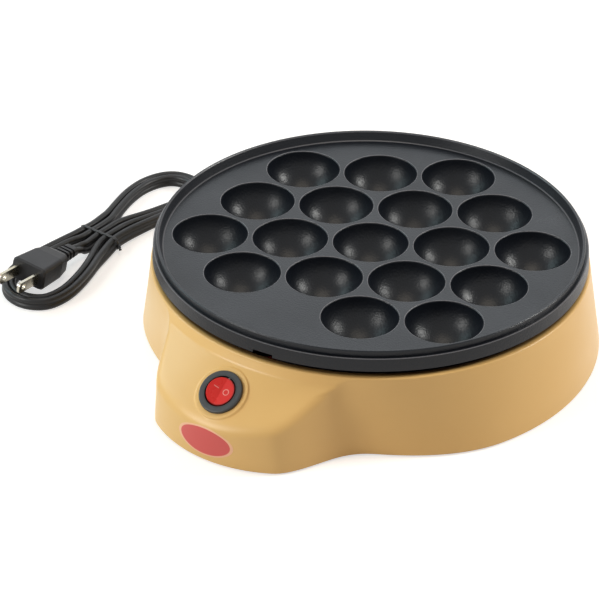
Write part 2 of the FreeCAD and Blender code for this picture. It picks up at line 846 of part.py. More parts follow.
def heat_shield():
    outer = ledge_inner - shield_clearance
    pan = revolve([
        (0, shield_floor), (shield_floor_radius, shield_floor), (outer, ledge_top), (shield_flange, ledge_top),
        (shield_flange, shield_top), (outer - shield_thickness, shield_top),
        (shield_floor_radius - shield_thickness, shield_floor_top), (0, shield_floor_top)])
    low = shield_floor - 1
    holes = [rod(leg_hole_radius, low, shield_floor_top + 1, foot) for _, _, foot in heater_legs()]
    holes += [rod(m4_radius + hole_clearance, ledge_top - 1, shield_top + 1, polar(post_ring, b))
              for b in post_bearings]
    holes.append(rod(bush_radius, low, shield_floor_top + 1, vec(*bush_place)))
    return pan.cut(holes)


def bracket_ends():
    centre = polar(thermostat_ring, 0)
    return [vec(side * bracket_half_span, centre.y) for side in (-1, 1)]


def pad_low():
    return flat_z - thermostat_pad_drop


def bracket_top():
    return pad_low() - cap_height


def thermostat_low():
    return bracket_top() - thermostat_body_height


def thermostat():
    centre = polar(thermostat_ring, 0)
    cap = rod(cap_radius, bracket_top(), pad_low(), centre)
    body = rod(thermostat_body_radius, thermostat_low(), bracket_top(), centre)
    pieces = [cap, body]
    for side in (-1, 1):
        place = vec(side * thermostat_blade_spacing / 2, centre.y)
        low = thermostat_low() - blade_length
        pieces.append(block(blade_thickness, blade_width, low, thermostat_low() + 1, place))
    return join(pieces)


def thermostat_bracket():
    low = bracket_top() - bracket_thickness
    centre = polar(thermostat_ring, 0)
    reach = 2 * (bracket_half_span + bracket_boss_radius)
    bar = block(reach, bracket_width, low, bracket_top(), centre)
    eye = rod(cap_radius + 1.5, low, bracket_top(), centre)
    bracket = join([bar, eye])
    holes = [rod(thermostat_body_radius + hole_clearance, low - 1, bracket_top() + 1, centre)]
    holes += [rod(m3_radius + hole_clearance, low - 1, bracket_top() + 1, p) for p in bracket_ends()]
    return bracket.cut(holes)


def thermostat_screws():
    low = bracket_top() - bracket_thickness
    length = underside_z - low
    seats = [vec(p.x, p.y, low) for p in bracket_ends()]
    return [screw(m3_radius, m3_head_radius, m3_head_height, seat, length) for seat in seats]


def fuse_height():
    return shield_floor - sleeve_radius


def lying(radius, length, place, height):
    """Rod along +X."""
    return Part.makeCylinder(radius, length, vec(place[0] - length / 2, place[1], height), vec(1, 0, 0))


def thermal_fuse():
    return lying(fuse_radius, fuse_length, fuse_place, fuse_height())


def fuse_sleeve():
    sleeve = lying(sleeve_radius, sleeve_length, fuse_place, fuse_height())
    return sleeve.cut(lying(fuse_radius, sleeve_length + 2, fuse_place, fuse_height()))


def fuse_clip():
    """Half hoop under the sleeve with two feet against the shield's underside."""
    outer = lying(sleeve_radius + clip_thickness, clip_width, fuse_place, fuse_height())
    reach = 2 * (sleeve_radius + clip_thickness + clip_foot)
    top = block(clip_width, reach, shield_floor - clip_thickness, shield_floor, vec(*fuse_place))
    width = 2 * (sleeve_radius + clip_thickness)
    sides = block(clip_width, width, fuse_height(), shield_floor, vec(*fuse_place))
    hoop = join([outer, top, sides])
    channel = block(clip_width + 2, 2 * sleeve_radius, fuse_height(), shield_floor + 1, vec(*fuse_place))
    above = block(clip_width + 2, reach + 2, shield_floor, shield_floor + 5, vec(*fuse_place))
    inner = lying(sleeve_radius, clip_width + 2, fuse_place, fuse_height())
    return hoop.cut([channel, above, inner])


def wire_bush():
    place = vec(*bush_place)
    low = shield_floor - bush_flange
    high = shield_floor_top + bush_flange
    body = rod(bush_radius, low, high, place)
    lower_rim = rod(bush_flange_radius, low, shield_floor, place)
    upper_rim = rod(bush_flange_radius, shield_floor_top, high, place)
    beside = [vec(place.x + side * bush_bore_offset, place.y) for side in (-1, 1)]
    bores = [rod(wire_radius + bush_bore_clearance, low - 1, high + 1, centre) for centre in beside]
    return join([body, lower_rim, upper_rim]).cut(bores)


# ---- Rocker switch ----

def switch_body():
    barrel = rod(barrel_radius, -barrel_depth, pad_proud)
    bezel = rod(bezel_radius, pad_proud, pad_proud + bezel_height)
    ridge = bezel.Edges
    bezel = bezel.makeFillet(bezel_height * 0.45, [e for e in ridge if e.BoundBox.ZMin > pad_proud + 0.1
                                                   and e.BoundBox.ZMax - e.BoundBox.ZMin < 0.01])
    snaps = []
    for side in (-1, 1):
        heel = side * (barrel_radius - 0.5)
        tip = side * (barrel_radius + snap_reach)
        top = -pad_depth - 0.15
        edge = -snap_width / 2
        ramp = Part.makePolygon([vec(heel, edge, top), vec(tip, edge, top), vec(heel, edge, top - snap_length),
                                 vec(heel, edge, top)])
        snaps.append(Part.Face(ramp).extrude(vec(0, snap_width, 0)))
    whole = join([barrel, bezel] + snaps)
    cuts = [rod(window_radius, -window_floor, pad_proud + bezel_height + 1)]
    cuts.append(Part.makeCylinder(pivot_pin_radius, 2 * pivot_pin_half_length,
                                  vec(0, -pivot_pin_half_length, rocker_pivot), vec(0, 1, 0)))
    cuts += [terminal_blade(i) for i in (-1, 0, 1)]
    return switch_frame(whole.cut(cuts))


def rocker_shape():
    """Rocker about its pivot, before it is tipped: a ball cut off by a shallow V on top."""
    rise = math.tan(math.radians(rocker_tilt)) * (rocker_radius + 1)
    out = rocker_radius + 1
    start = vec(-out, -out, -rocker_skirt)
    profile = [start, vec(-out, -out, rocker_top + rise), vec(0, -out, rocker_top),
               vec(out, -out, rocker_top + rise), vec(out, -out, -rocker_skirt), start]
    prism = Part.Face(Part.makePolygon(profile)).extrude(vec(0, 2 * out, 0))
    body = Part.makeSphere(rocker_radius).common(prism)
    roof = rod(rocker_radius, -rocker_radius, rocker_top - rocker_shell)
    body = body.cut(Part.makeSphere(rocker_radius - rocker_shell).common(roof))
    hub = Part.makeCylinder(2 * pivot_pin_radius, 2 * rocker_radius, vec(0, -rocker_radius, 0), vec(0, 1, 0))
    gap = Part.makeBox(2 * rocker_radius, lamp_length + 1, 2 * rocker_radius,
                       vec(-rocker_radius, -(lamp_length + 1) / 2, -rocker_radius))
    lugs = hub.cut(gap).common(Part.makeSphere(rocker_radius - rocker_shell / 2))
    bore = Part.makeCylinder(pivot_pin_radius + rocker_bore_clearance, 4 * rocker_radius,
                             vec(0, -2 * rocker_radius, 0), vec(0, 1, 0))
    return join([body] + lugs.Solids).cut(bore)


def switch_rocker():
    rocker = rocker_shape()
    rocker.rotate(vec(0, 0), vec(0, 1, 0), rocker_travel / 2)
    rocker.translate(vec(0, 0, rocker_pivot))
    return switch_frame(rocker)


def rocker_pin():
    pin = Part.makeCylinder(pivot_pin_radius, 2 * pivot_pin_half_length,
                            vec(0, -pivot_pin_half_length, rocker_pivot), vec(0, 1, 0))
    return switch_frame(pin)


def neon_lamp():
    lamp = Part.makeCylinder(lamp_radius, lamp_length, vec(0, -lamp_length / 2, lamp_radius - window_floor),
                             vec(0, 1, 0))
    return switch_frame(lamp)


def terminal_blade(index):
    """Blade standing out of the barrel's back, in the switch's frame."""
    place = vec(index * terminal_spacing, 0)
    low = -barrel_depth - terminal_reach
    high = -barrel_depth + terminal_root
    return block(blade_thickness, blade_width, low, high, place)


def switch_terminals():
    return [switch_frame(terminal_blade(i)) for i in (-1, 0, 1)]


def push_on(index):
    """Insulated receptacle over a switch blade."""
    place = vec(index * terminal_spacing, 0)
    high = -barrel_depth - push_on_gap
    low = high - push_on_length
    outer = block(blade_thickness + 2 * sleeve_wall, blade_width + 2 * sleeve_wall, low, high, place)
    return switch_frame(outer.cut(terminal_blade(index)))


def push_on_terminals():
    return [push_on(i) for i in (-1, 0, 1)]


def wire_start(index):
    """Middle of a receptacle's open end, and a point straight behind it."""
    low = -barrel_depth - push_on_gap - push_on_length
    points = []
    for depth in (low, low - 4):
        mark = switch_frame(Part.Vertex(vec(index * terminal_spacing, 0, depth)))
        points.append(mark.Point)
    return points


# ---- Cord and wiring ----

corner_share = 0.45               # an arc takes this much of the shorter of its two runs


def turned_path(points):
    """Straight runs joined by tangent arcs, each as large as its two runs allow."""
    corners = [vec(*p) if isinstance(p, tuple) else p for p in points]
    edges = []
    radii = []
    start = corners[0]
    for before, here, after in zip(corners, corners[1:], corners[2:]):
        back = (before - here).normalize()
        on = (after - here).normalize()
        reach = corner_share * min((before - here).Length, (after - here).Length)
        half = (math.pi - back.getAngle(on)) / 2
        radius = reach / math.tan(half)
        inward = (back + on).normalize()
        middle = here + inward * (radius / math.cos(half) - radius)
        edges.append(Part.makeLine(start, here + back * reach))
        edges.append(Part.Arc(here + back * reach, middle, here + on * reach).toShape())
        radii.append(radius)
        start = here + on * reach
    edges.append(Part.makeLine(start, corners[-1]))
    return edges, radii


def wire_along(name, points):
    edges, radii = turned_path(points)
    tube = sweep_round(edges, wire_radius)
    print(name, "smallest radius", round(min(radii), 1))
    return tube


def wire_routes():
    """Each wire runs from one terminal to the next, clear of the posts and of the others."""
    left, middle, right = [wire_start(i) for i in (-1, 0, 1)]
    core = cord_width / 4
    live_end = vec(0, cord_inside_end, gland_height + core)
    neutral_end = vec(0, cord_inside_end, gland_height - core)
    inward = vec(0, -5)
    under_blade = vec(0, 0, -wire_under_blade)
    legs = [foot for _, _, foot in heater_legs()]
    pin_side = pin_sleeve_size / 2
    sleeve_mid = pin_sleeve_low + pin_sleeve_height / 2
    front_pin = vec(legs[1].x, legs[1].y - pin_side, sleeve_mid)
    right_pin = vec(legs[1].x + pin_side, legs[1].y, sleeve_mid)
    left_pin = vec(legs[0].x - pin_side, legs[0].y, sleeve_mid)
    tip_height = thermostat_low() - blade_length
    tips = [vec(side * thermostat_blade_spacing / 2, -thermostat_ring, tip_height) for side in (-1, 1)]
    inner, outer = [vec(bush_place[0] + side * bush_bore_offset, bush_place[1]) for side in (1, -1)]
    below = vec(0, 0, shield_floor - wire_below_shield)
    above = vec(0, 0, shield_floor_top + wire_above_shield)
    fuse_middle = vec(fuse_place[0], fuse_place[1], fuse_height())
    fuse_ends = [fuse_middle + vec(side * fuse_length / 2, 0) for side in (-1, 1)]
    return {
        "wire_live": left + [(-12, 25.7 - switch_ring, 7.2), (-30, -88, 7.2), (-62, -52, 7.2), (-66, 0, 7.2),
                             (-50, 44, 8.0), (-22, 70, 11.0), (-6, 82, 14.0), live_end + inward, live_end],
        "wire_neutral": [right_pin, right_pin + vec(4, 0), (24, -50, 9.0), (38, -28, 7.4), (44, 6, 7.2),
                         (36, 46, 7.8), (16, 72, 8.8), (5, 82, 10.4), neutral_end + inward, neutral_end],
        "wire_lamp": right + [(8, 23.7 - switch_ring, 7.2), (legs[1].x, -92, 7.4), (legs[1].x, -76, 9.4),
                              front_pin + vec(0, -6), front_pin],
        "wire_switched": middle + [(-2, 22.7 - switch_ring, 9.6), (-10, 33.7 - switch_ring, 12.5),
                                   (-30, -80, 14.5), (-52, -60, 16.5),
                                   (-61, -42, 17.8), fuse_ends[0] + vec(-9, 0), fuse_ends[0]],
        "wire_thermostat": [fuse_ends[1], fuse_ends[1] + vec(7, 0), (-19, -38, 17.0), (-18, inner.y + 20, 16.0),
                            (-20, inner.y + 8, 15.6), inner + below, inner + above,
                            (-14, 5 - thermostat_ring, tip_height - 6.0),
                            tips[0] + under_blade, tips[0]],
        "wire_heater": [tips[1], tips[1] + under_blade, (-6, -thermostat_ring - 6.5, tip_height - 6.6),
                        (-21, -thermostat_ring - 2, tip_height - 7.8),
                        outer + above, outer + vec(0, 0, sleeve_mid + 1), (-22, -63, sleeve_mid),
                        left_pin + vec(-4, 0), left_pin],
    }


def pin_sleeves():
    """Crimped receptacles on the element's two pins."""
    sleeves = []
    for _, _, foot in heater_legs():
        high = pin_sleeve_low + pin_sleeve_height
        sleeve = block(pin_sleeve_size, pin_sleeve_size, pin_sleeve_low, high, foot)
        sleeves.append(sleeve.cut(rod(pin_radius, pin_end, high + 1, foot)))
    return sleeves


def stadium(centre, width, height):
    """Upright cord section in the XZ plane: two round cores with straight sides."""
    half = width / 2
    reach = height / 2 - half
    low = centre + vec(0, 0, -reach)
    high = centre + vec(0, 0, reach)
    left, right = vec(-half, 0), vec(half, 0)
    bottom = Part.Arc(low + left, low + vec(0, 0, -half), low + right).toShape()
    top = Part.Arc(high + right, high + vec(0, 0, half), high + left).toShape()
    sides = [Part.makeLine(low + right, high + right), Part.makeLine(high + left, low + left)]
    return Part.Wire([bottom, sides[0], top, sides[1]])


def cord_lead():
    edges, radii = turned_path(lead_route)
    path = Part.Wire(edges)
    pipe = Part.BRepOffsetAPI.MakePipeShell(path)
    pipe.setBiNormalMode(vec(0, 0, 1))
    pipe.add(stadium(vec(*lead_route[0]), cord_thickness, cord_width), False, False)
    pipe.build()
    pipe.makeSolid()
    lead = pipe.shape()
    area = cord_thickness * (cord_width - cord_thickness) + math.pi * (cord_thickness / 2) ** 2
    print("cord_lead length", round(path.Length, 1), "radii", [round(r) for r in radii])
    print("cord_lead volume", round(lead.Volume), "section x length", round(area * path.Length))
    return lead.cut(cord_hank())


def spline(points):
    curve = Part.BSplineCurve()
    curve.interpolate([vec(x, y) for x, y in points])
    return curve.toShape()


def inset(points, distance):
    """Points moved to the right of the outline's direction, which is its inside."""
    moved = []
    for before, here, after in zip(points, points[1:], points[2:]):
        run_x, run_y = after[0] - before[0], after[1] - before[1]
        length = math.hypot(run_x, run_y)
        moved.append((here[0] + run_y / length * distance, here[1] - run_x / length * distance))
    return moved


def slab(edges):
    return Part.Face(Part.Wire(edges)).extrude(vec(0, 0, cord_width))


def loop_hole(points):
    ends = [vec(*points[-1]), vec(*points[0])]
    return slab([spline(points), Part.makeLine(ends[0], ends[1])])


def cord_hank():
    first, last = hank_outline[0], hank_outline[-1]
    whole = slab([spline(hank_outline), Part.makeLine(vec(*last), vec(*first))])
    inner = inset(hank_outline, 2 * strand_pitch)
    front = [p for p in inner if p[1] < front_hole_rear]
    rear = [p for p in inner if p[1] > rear_hole_front]
    return whole.cut([loop_hole(front), loop_hole(rear), tie_band()])


def tie_band():
    low = Part.makeBox(tie_right - tie_left + 2 * tie_thickness, tie_width, cord_width + tie_thickness,
                       vec(tie_left - tie_thickness, tie_place - tie_width / 2, 0))
    inner = Part.makeBox(tie_right - tie_left, tie_width + 2, cord_width - tie_thickness,
                         vec(tie_left, tie_place - tie_width / 2 - 1, tie_thickness))
    return low.cut(inner)


def cord_tie():
    edges, _ = turned_path(tie_tail)
    return join([tie_band(), sweep_round(edges, tie_tail_radius)])


def plug_frame(shape):
    turn = FreeCAD.Rotation(vec(0, 0, 1), plug_yaw).multiply(FreeCAD.Rotation(vec(1, 0, 0), -plug_pitch))
    turn = turn.multiply(FreeCAD.Rotation(vec(0, 1, 0), plug_roll))
    placed = shape.copy()
    placed.Placement = FreeCAD.Placement(vec(*plug_place), turn).multiply(placed.Placement)
    return placed


def rounded_rectangle(y, width, height, corner):
    """Closed wire across the plug's length."""
    box = Part.makeBox(width, 1, height, vec(-width / 2, y, -height / 2))
    posts = [e for e in box.Edges if abs(e.BoundBox.YMax - e.BoundBox.YMin - 1) < 1e-6]
    rounded = box.makeFillet(min(corner, 0.45 * height), posts)
    front = min(rounded.Faces, key=lambda face: face.CenterOfMass.y)
    return front.OuterWire


def tapered(sections, corner):
    return Part.makeLoft([rounded_rectangle(y, w, h, corner) for y, w, h in sections], True, True)


def plug_body():
    neck = tapered(neck_sections, neck_corner)
    for index in range(neck_slots):
        at = neck_sections[0][0] + neck_slot * (1.5 + 2 * index)
        ring_cut = Part.makeBox(20, neck_slot, 20, vec(-10, at, -10))
        core = Part.makeBox(neck_sections[1][1] - 2 * neck_slot_depth, neck_slot + 2,
                            neck_sections[1][2] - 2 * neck_slot_depth,
                            vec(-neck_sections[1][1] / 2 + neck_slot_depth, at - 1,
                                -neck_sections[1][2] / 2 + neck_slot_depth))
        neck = neck.cut(ring_cut.cut(core))
    body = join([tapered(plug_sections, plug_corner), neck])
    return plug_frame(body.cut([plug_blade(side) for side in (-1, 1)]))


def plug_blade(side):
    centre_x = side * plug_blade_spacing / 2
    blade = Part.makeBox(plug_blade_thickness, plug_blade_length + plug_blade_inside, plug_blade_width,
                         vec(centre_x - plug_blade_thickness / 2, -plug_blade_length, -plug_blade_width / 2))
    tips = [e for e in blade.Edges if e.BoundBox.YMax < -plug_blade_length + 0.01
            and e.BoundBox.XMax - e.BoundBox.XMin > plug_blade_thickness / 2]
    blade = blade.makeFillet(plug_blade_width * 0.35, tips)
    hole_place = vec(centre_x - 2 * plug_blade_thickness, plug_blade_hole_from_tip - plug_blade_length, 0)
    hole = Part.makeCylinder(plug_blade_hole, 4 * plug_blade_thickness, hole_place, vec(1, 0, 0))
    return blade.cut(hole)


def plug_blades():
    return [plug_frame(plug_blade(side)) for side in (-1, 1)]


def neck_end():
    mark = plug_frame(Part.Vertex(vec(0, neck_sections[1][0], 0)))
    return mark.Point


def cord_tail():
    """Last short stretch of cord between the packed strands and the plug's neck."""
    start = neck_end()
    turn = plug_frame(Part.Vertex(vec(0, neck_sections[1][0] + 1, 0))).Point - start
    end = vec(tail_foot[0], tail_foot[1], cord_thickness)
    run = (end - start).Length
    edges, radii = turned_path([start, start + turn * (0.5 * run), end])
    print("cord_tail radii", [round(r) for r in radii])
    return sweep_round(edges, tail_radius).cut(cord_hank())


def cord_bushing():
    neck_low, neck_high = gland_boss_in, gland_boss_out
    body = revolve([
        (0, neck_low - bushing_flange), (bushing_flange_radius, neck_low - bushing_flange),
        (bushing_flange_radius, neck_low), (bushing_neck_radius, neck_low), (bushing_neck_radius, neck_high),
        (bushing_flange_radius, neck_high), (bushing_flange_radius, neck_high + bushing_flange),
        (bushing_root_radius, neck_high + bushing_flange), (bushing_tip_radius, bushing_end),
        (0, bushing_end)])
    start = neck_high + bushing_flange
    pitch = (bushing_end - start) / (bushing_ribs + 1)
    for index in range(1, bushing_ribs + 1):
        centre = start + index * pitch
        outer = washer(bushing_flange_radius, bushing_tip_radius - bushing_slot_depth + 0.4,
                       centre - bushing_slot / 2, centre + bushing_slot / 2)
        body = body.cut(outer)
    body = along_y(body)
    return body.cut(cord_prism(neck_low - 5, bushing_end + 5))


def cord_inner():
    return cord_prism(cord_inside_end, bushing_end)


def cord_clamp():
    length, width, thickness = clamp_bar
    bar = block(length, width, clamp_top() - thickness, clamp_top(), vec(0, clamp_place))
    holes = [rod(m3_radius + hole_clearance, 0, clamp_top() + 1, p) for p in clamp_posts()]
    return bar.cut(holes)


def clamp_screws():
    thickness = clamp_bar[2]
    return [m3_screw(vec(p.x, p.y, clamp_top() - thickness), thickness) for p in clamp_posts()]


def build():
    os.makedirs("parts", exist_ok=True)
    save("housing", housing())
    save("front_label", front_label())
    save("bottom_cover", bottom_cover())
    save("cover_screws", cover_screws())
    save("rubber_feet", rubber_feet())
    save("base_label", base_label())
    save("cooking_plate", cooking_plate())
    save("plate_washers", plate_washers())
    save("plate_screws", plate_screws())
    save("heating_element", heating_element())
    save("heater_pins", heater_pins())
    save("terminal_beads", terminal_beads())
    save("heater_straps", heater_straps())
    save("strap_screws", strap_screws())
    save("heat_shield", heat_shield())
    save("thermostat", thermostat())
    save("thermostat_bracket", thermostat_bracket())
    save("thermostat_screws", thermostat_screws())
    save("thermal_fuse", thermal_fuse())
    save("fuse_sleeve", fuse_sleeve())
    save("fuse_clip", fuse_clip())
    save("wire_bush", wire_bush())
    save("switch_body", switch_body())
    save("switch_rocker", switch_rocker())
    save("rocker_pin", rocker_pin())
    save("neon_lamp", neon_lamp())
    save("switch_terminals", switch_terminals())
    save("push_on_terminals", push_on_terminals())
    save("pin_sleeves", pin_sleeves())
    for name, route in wire_routes().items():
        save(name, wire_along(name, route))
    save("cord_bushing", cord_bushing())
    save("cord_inner", cord_inner())
    save("cord_clamp", cord_clamp())
    save("clamp_screws", clamp_screws())
    save("cord_lead", cord_lead())
    save("cord_hank", cord_hank())
    save("cord_tie", cord_tie())
    save("cord_tail", cord_tail())
    save("plug_body", plug_body())
    save("plug_blades", plug_blades())


build()
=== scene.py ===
import math

import bmesh
import bpy
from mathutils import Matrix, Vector


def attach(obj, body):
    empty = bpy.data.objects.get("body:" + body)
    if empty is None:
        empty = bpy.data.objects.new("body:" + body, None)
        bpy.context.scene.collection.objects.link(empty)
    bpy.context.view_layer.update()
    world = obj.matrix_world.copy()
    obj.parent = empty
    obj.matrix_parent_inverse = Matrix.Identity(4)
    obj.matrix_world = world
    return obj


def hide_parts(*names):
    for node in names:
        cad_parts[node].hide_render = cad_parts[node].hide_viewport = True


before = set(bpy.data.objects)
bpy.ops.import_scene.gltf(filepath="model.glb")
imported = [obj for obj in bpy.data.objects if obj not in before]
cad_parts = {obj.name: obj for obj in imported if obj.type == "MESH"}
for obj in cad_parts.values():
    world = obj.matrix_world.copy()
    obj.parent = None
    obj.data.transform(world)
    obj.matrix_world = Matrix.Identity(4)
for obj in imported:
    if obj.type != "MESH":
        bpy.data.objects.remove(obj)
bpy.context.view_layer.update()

# ---- Camera ----
# A long lens about a metre and a half from the object, above it and to its front right, so that upright
# edges stay close to parallel.

camera_data = bpy.data.cameras.new("camera")
camera_data.sensor_width = 36.0
camera_data.lens = 170.12
camera_data.clip_start = 0.1
camera_data.clip_end = 20.0
camera = bpy.data.objects.new("camera", camera_data)
camera.location = (0.69877, -1.04029, 0.81613)
camera.rotation_euler = (math.radians(57.7547), math.radians(-0.3128), math.radians(35.4478))
bpy.context.scene.collection.objects.link(camera)
bpy.context.scene.camera = camera

# ---- Room ----
# A pale floor in a white surround, with soft lamps: two strong ones behind on the right and in front on the
# left, weaker ones on the left, above and behind.

bpy.context.scene.view_settings.view_transform = "Standard"
WHITE = (1.0, 1.0, 1.0, 1.0)
FILL_LIGHT = (0.2, 0.145, 0.11, 1.0)
AIM = Vector((0.0, 0.0, 0.03))
FLOOR_HALF = 4.0
GLOW_NEAR, GLOW_FAR = (0.45, 0.6), (1.6, 1.0)    # distance from the middle in metres, and strength there


def linear(red, green, blue):
    """A colour given as 0-255 display values, as the linear values that a shader takes."""
    shares = [value / 255 for value in (red, green, blue)]
    return tuple(s / 12.92 if s <= 0.04045 else ((s + 0.055) / 1.055) ** 2.4 for s in shares) + (1.0,)


def feed(tree, socket, given):
    """Gives an input socket a number, a colour or a link."""
    if isinstance(given, (int, float, tuple)):
        socket.default_value = given
    else:
        tree.links.new(given, socket)


def blend_colour(tree, share, first, second):
    node = tree.nodes.new("ShaderNodeMix")
    node.data_type = "RGBA"
    for socket, given in ((0, share), (6, first), (7, second)):
        feed(tree, node.inputs[socket], given)
    return node.outputs[2]


def map_range(tree, value, low, high, to_low, to_high):
    node = tree.nodes.new("ShaderNodeMapRange")
    names = ("Value", "From Min", "From Max", "To Min", "To Max")
    for name, given in zip(names, (value, low, high, to_low, to_high)):
        feed(tree, node.inputs[name], given)
    return node.outputs["Result"]


def arithmetic(tree, operation, first, second):
    node = tree.nodes.new("ShaderNodeMath")
    node.operation = operation
    feed(tree, node.inputs[0], first)
    feed(tree, node.inputs[1], second)
    return node.outputs[0]


def seen_directly(tree):
    """1 for a ray from the camera, off something shiny or through something clear, otherwise 0."""
    path = tree.nodes.new("ShaderNodeLightPath").outputs
    shiny = arithmetic(tree, "MAXIMUM", path["Is Camera Ray"], path["Is Glossy Ray"])
    return arithmetic(tree, "MAXIMUM", shiny, path["Is Transmission Ray"])


world = bpy.data.worlds.new("surround")
bpy.context.scene.world = world
world.use_nodes = True
world_tree = world.node_tree
background = world_tree.nodes["Background"]
fill_or_white = blend_colour(world_tree, seen_directly(world_tree), FILL_LIGHT, WHITE)
world_tree.links.new(fill_or_white, background.inputs["Color"])
background.inputs["Strength"].default_value = 1.0


def soft_lamp(name, spot, width, height, power, colour):
    """A rectangular lamp aimed at the middle of the object."""
    data = bpy.data.lights.new(name, "AREA")
    data.color = colour
    data.shape = "RECTANGLE"
    data.size = width
    data.size_y = height
    data.energy = power
    lamp = bpy.data.objects.new(name, data)
    lamp.location = spot
    lamp.rotation_euler = (AIM - Vector(spot)).to_track_quat("-Z", "Y").to_euler()
    bpy.context.scene.collection.objects.link(lamp)


soft_lamp("lamp_right", (1.12, 0.94, 0.9), 0.42, 0.42, 15.5, (1.0, 1.0, 0.97))
soft_lamp("lamp_front", (-0.77, -1.33, 0.76), 0.65, 0.65, 12.0, (1.0, 1.0, 0.97))
soft_lamp("lamp_left", (-1.2, -0.35, 0.75), 0.6, 0.8, 5.6, (0.68, 0.95, 1.0))
soft_lamp("lamp_above", (0.0, 0.1, 1.5), 0.8, 0.8, 4.4, (1.0, 0.88, 0.72))
soft_lamp("lamp_behind", (-0.66, 0.97, 0.9), 0.9, 0.6, 2.1, (0.84, 0.93, 1.0))

floor_mesh = bpy.data.meshes.new("floor")
floor_corners = [(x * FLOOR_HALF, y * FLOOR_HALF, 0.0) for x, y in ((-1, -1), (1, -1), (1, 1), (-1, 1))]
floor_mesh.from_pydata(floor_corners, [], [(0, 1, 2, 3)])
floor = bpy.data.objects.new("floor", floor_mesh)
bpy.context.scene.collection.objects.link(floor)
floor_paint = bpy.data.materials.new("floor_paint")
floor_paint.use_nodes = True
floor_tree = floor_paint.node_tree
floor_shader = floor_tree.nodes["Principled BSDF"]
floor_shader.inputs["Base Color"].default_value = linear(214, 214, 214)
floor_shader.inputs["Roughness"].default_value = 0.9
floor_shader.inputs["Specular IOR Level"].default_value = 0.0
floor_shader.inputs["Emission Color"].default_value = WHITE
far_off = floor_tree.nodes.new("ShaderNodeVectorMath")
far_off.operation = "LENGTH"
floor_tree.links.new(floor_tree.nodes.new("ShaderNodeTexCoord").outputs["Object"], far_off.inputs[0])
whiter = map_range(floor_tree, far_off.outputs["Value"], GLOW_NEAR[0], GLOW_FAR[0], GLOW_NEAR[1],
                   GLOW_FAR[1])
floor_glow = arithmetic(floor_tree, "MULTIPLY", seen_directly(floor_tree), whiter)
floor_tree.links.new(floor_glow, floor_shader.inputs["Emission Strength"])
floor.data.materials.append(floor_paint)

# ---- Housing ----
# One thin yellow polypropylene moulding: a round skirt with a nose for the switch, a rounded rim, and a
# tub with a ledge inside for the plate. Satin, with a fine grain and a little scuffing near the floor.

MM = 0.001
# Sizes in mm and bearings in degrees, about the plate's axis. Rises are from the wall's lower edge.
PLATE_Y = 11.75                   # the plate's axis behind the object's middle
FLOOR_GAP = 1.0                   # from the floor to the wall's lower edge
WALL = 2.6
BODY_RADIUS = 121.7
WAIST_DEPTH, WAIST_END, WAIST_SPAN = 9.2, 68.0, 40.0
NOSE_TURN = 0.5
NOSE_CENTRE, NOSE_RADIUS = 75.2, 70.0
NOSE_SIDE, NOSE_SIDE_BEARING, NOSE_END = 92.35, 65.7, 45.0
SLOPE = math.radians(35.5)
SLOPE_RADIUS, SLOPE_TOP = 116.42, 40.6
RIM_RADIUS, RIM_RISE, RIM_ROUNDING = 114.45, 44.85, 0.85
BAND_RISE, BAND_RUN, RIM_LIP = 4.25, 1.97, 1.25
TUB_RADIUS, LEDGE_RADIUS, TUB_OUTSIDE = 109.3, 96.0, 111.5
SWITCH_AHEAD, SWITCH_HEIGHT = 129.7, 32.127
BARREL_RADIUS, SWITCH_CUT_RADIUS = 10.1, 14.9
GLAND_HEIGHT, GLAND_CUT_RADIUS = 13.0, 8.0
PAD_HEIGHT, PAD_EDGE, PAD_BLEND, PAD_STEPS = 0.5, 14.75, 1.1, 120


def place(x, y, z):
    """A point given in mm from the plate's axis, in the part's frame."""
    return Vector((x * MM, (y + PLATE_Y) * MM, z * MM))


def add_mesh(name, body="base"):
    """A new empty mesh object on a body, filled through the bmesh that comes with it."""
    mesh = bpy.data.meshes.new(name)
    piece = bpy.data.objects.new(name, mesh)
    bpy.context.scene.collection.objects.link(piece)
    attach(piece, body)
    return piece, bmesh.new()


def close_mesh(piece, build, sharp=35.0):
    bmesh.ops.recalc_face_normals(build, faces=build.faces)
    build.to_mesh(piece.data)
    build.free()
    piece.data.shade_smooth()
    piece.data.set_sharp_from_angle(angle=math.radians(sharp))


def bridge(build, rings, closed=False):
    """Quads between rings of vertices that each run all the way round."""
    pairs = list(zip(rings, rings[1:]))
    if closed:
        pairs.append((rings[-1], rings[0]))
    for low, high in pairs:
        count = len(low)
        for i in range(count):
            j = (i + 1) % count
            build.faces.new((low[i], low[j], high[j], high[i]))


def lathe(build, profile, frame_of, steps=96, closed=False):
    """Revolves (radius, height) points about the third axis of a frame."""
    rings = []
    for radius, height in profile:
        ring = []
        for i in range(steps):
            turn = 2 * math.pi * i / steps
            ring.append(build.verts.new(frame_of(radius * math.cos(turn), radius * math.sin(turn), height)))
        rings.append(ring)
    bridge(build, rings, closed)
    return rings


def smoothstep(value):
    part = min(1.0, max(0.0, value))
    return part * part * (3 - 2 * part)


def smooth_min(a, b, blend):
    if blend <= 0 or abs(a - b) >= blend:
        return min(a, b)
    return min(a, b) - (blend - abs(a - b)) ** 2 / (4 * blend)


def smooth_max(a, b, blend):
    return -smooth_min(-a, -b, blend)


def edge_plan(bearing, lean=0.0):
    """Radius of the lower edge: a round body that draws in beside a nose at the front."""
    away = abs(bearing + NOSE_TURN)
    body = BODY_RADIUS - WAIST_DEPTH * smoothstep((WAIST_END - away) / WAIST_SPAN)
    if away > NOSE_END:
        return body
    turn = math.radians(away)
    front = NOSE_CENTRE * math.cos(turn) + math.sqrt(NOSE_RADIUS ** 2 - (NOSE_CENTRE * math.sin(turn)) ** 2)
    side = (NOSE_SIDE - lean) / math.cos(math.radians(NOSE_SIDE_BEARING) - turn)
    return smooth_max(smooth_min(front, side, 6.0), body, 8.0)


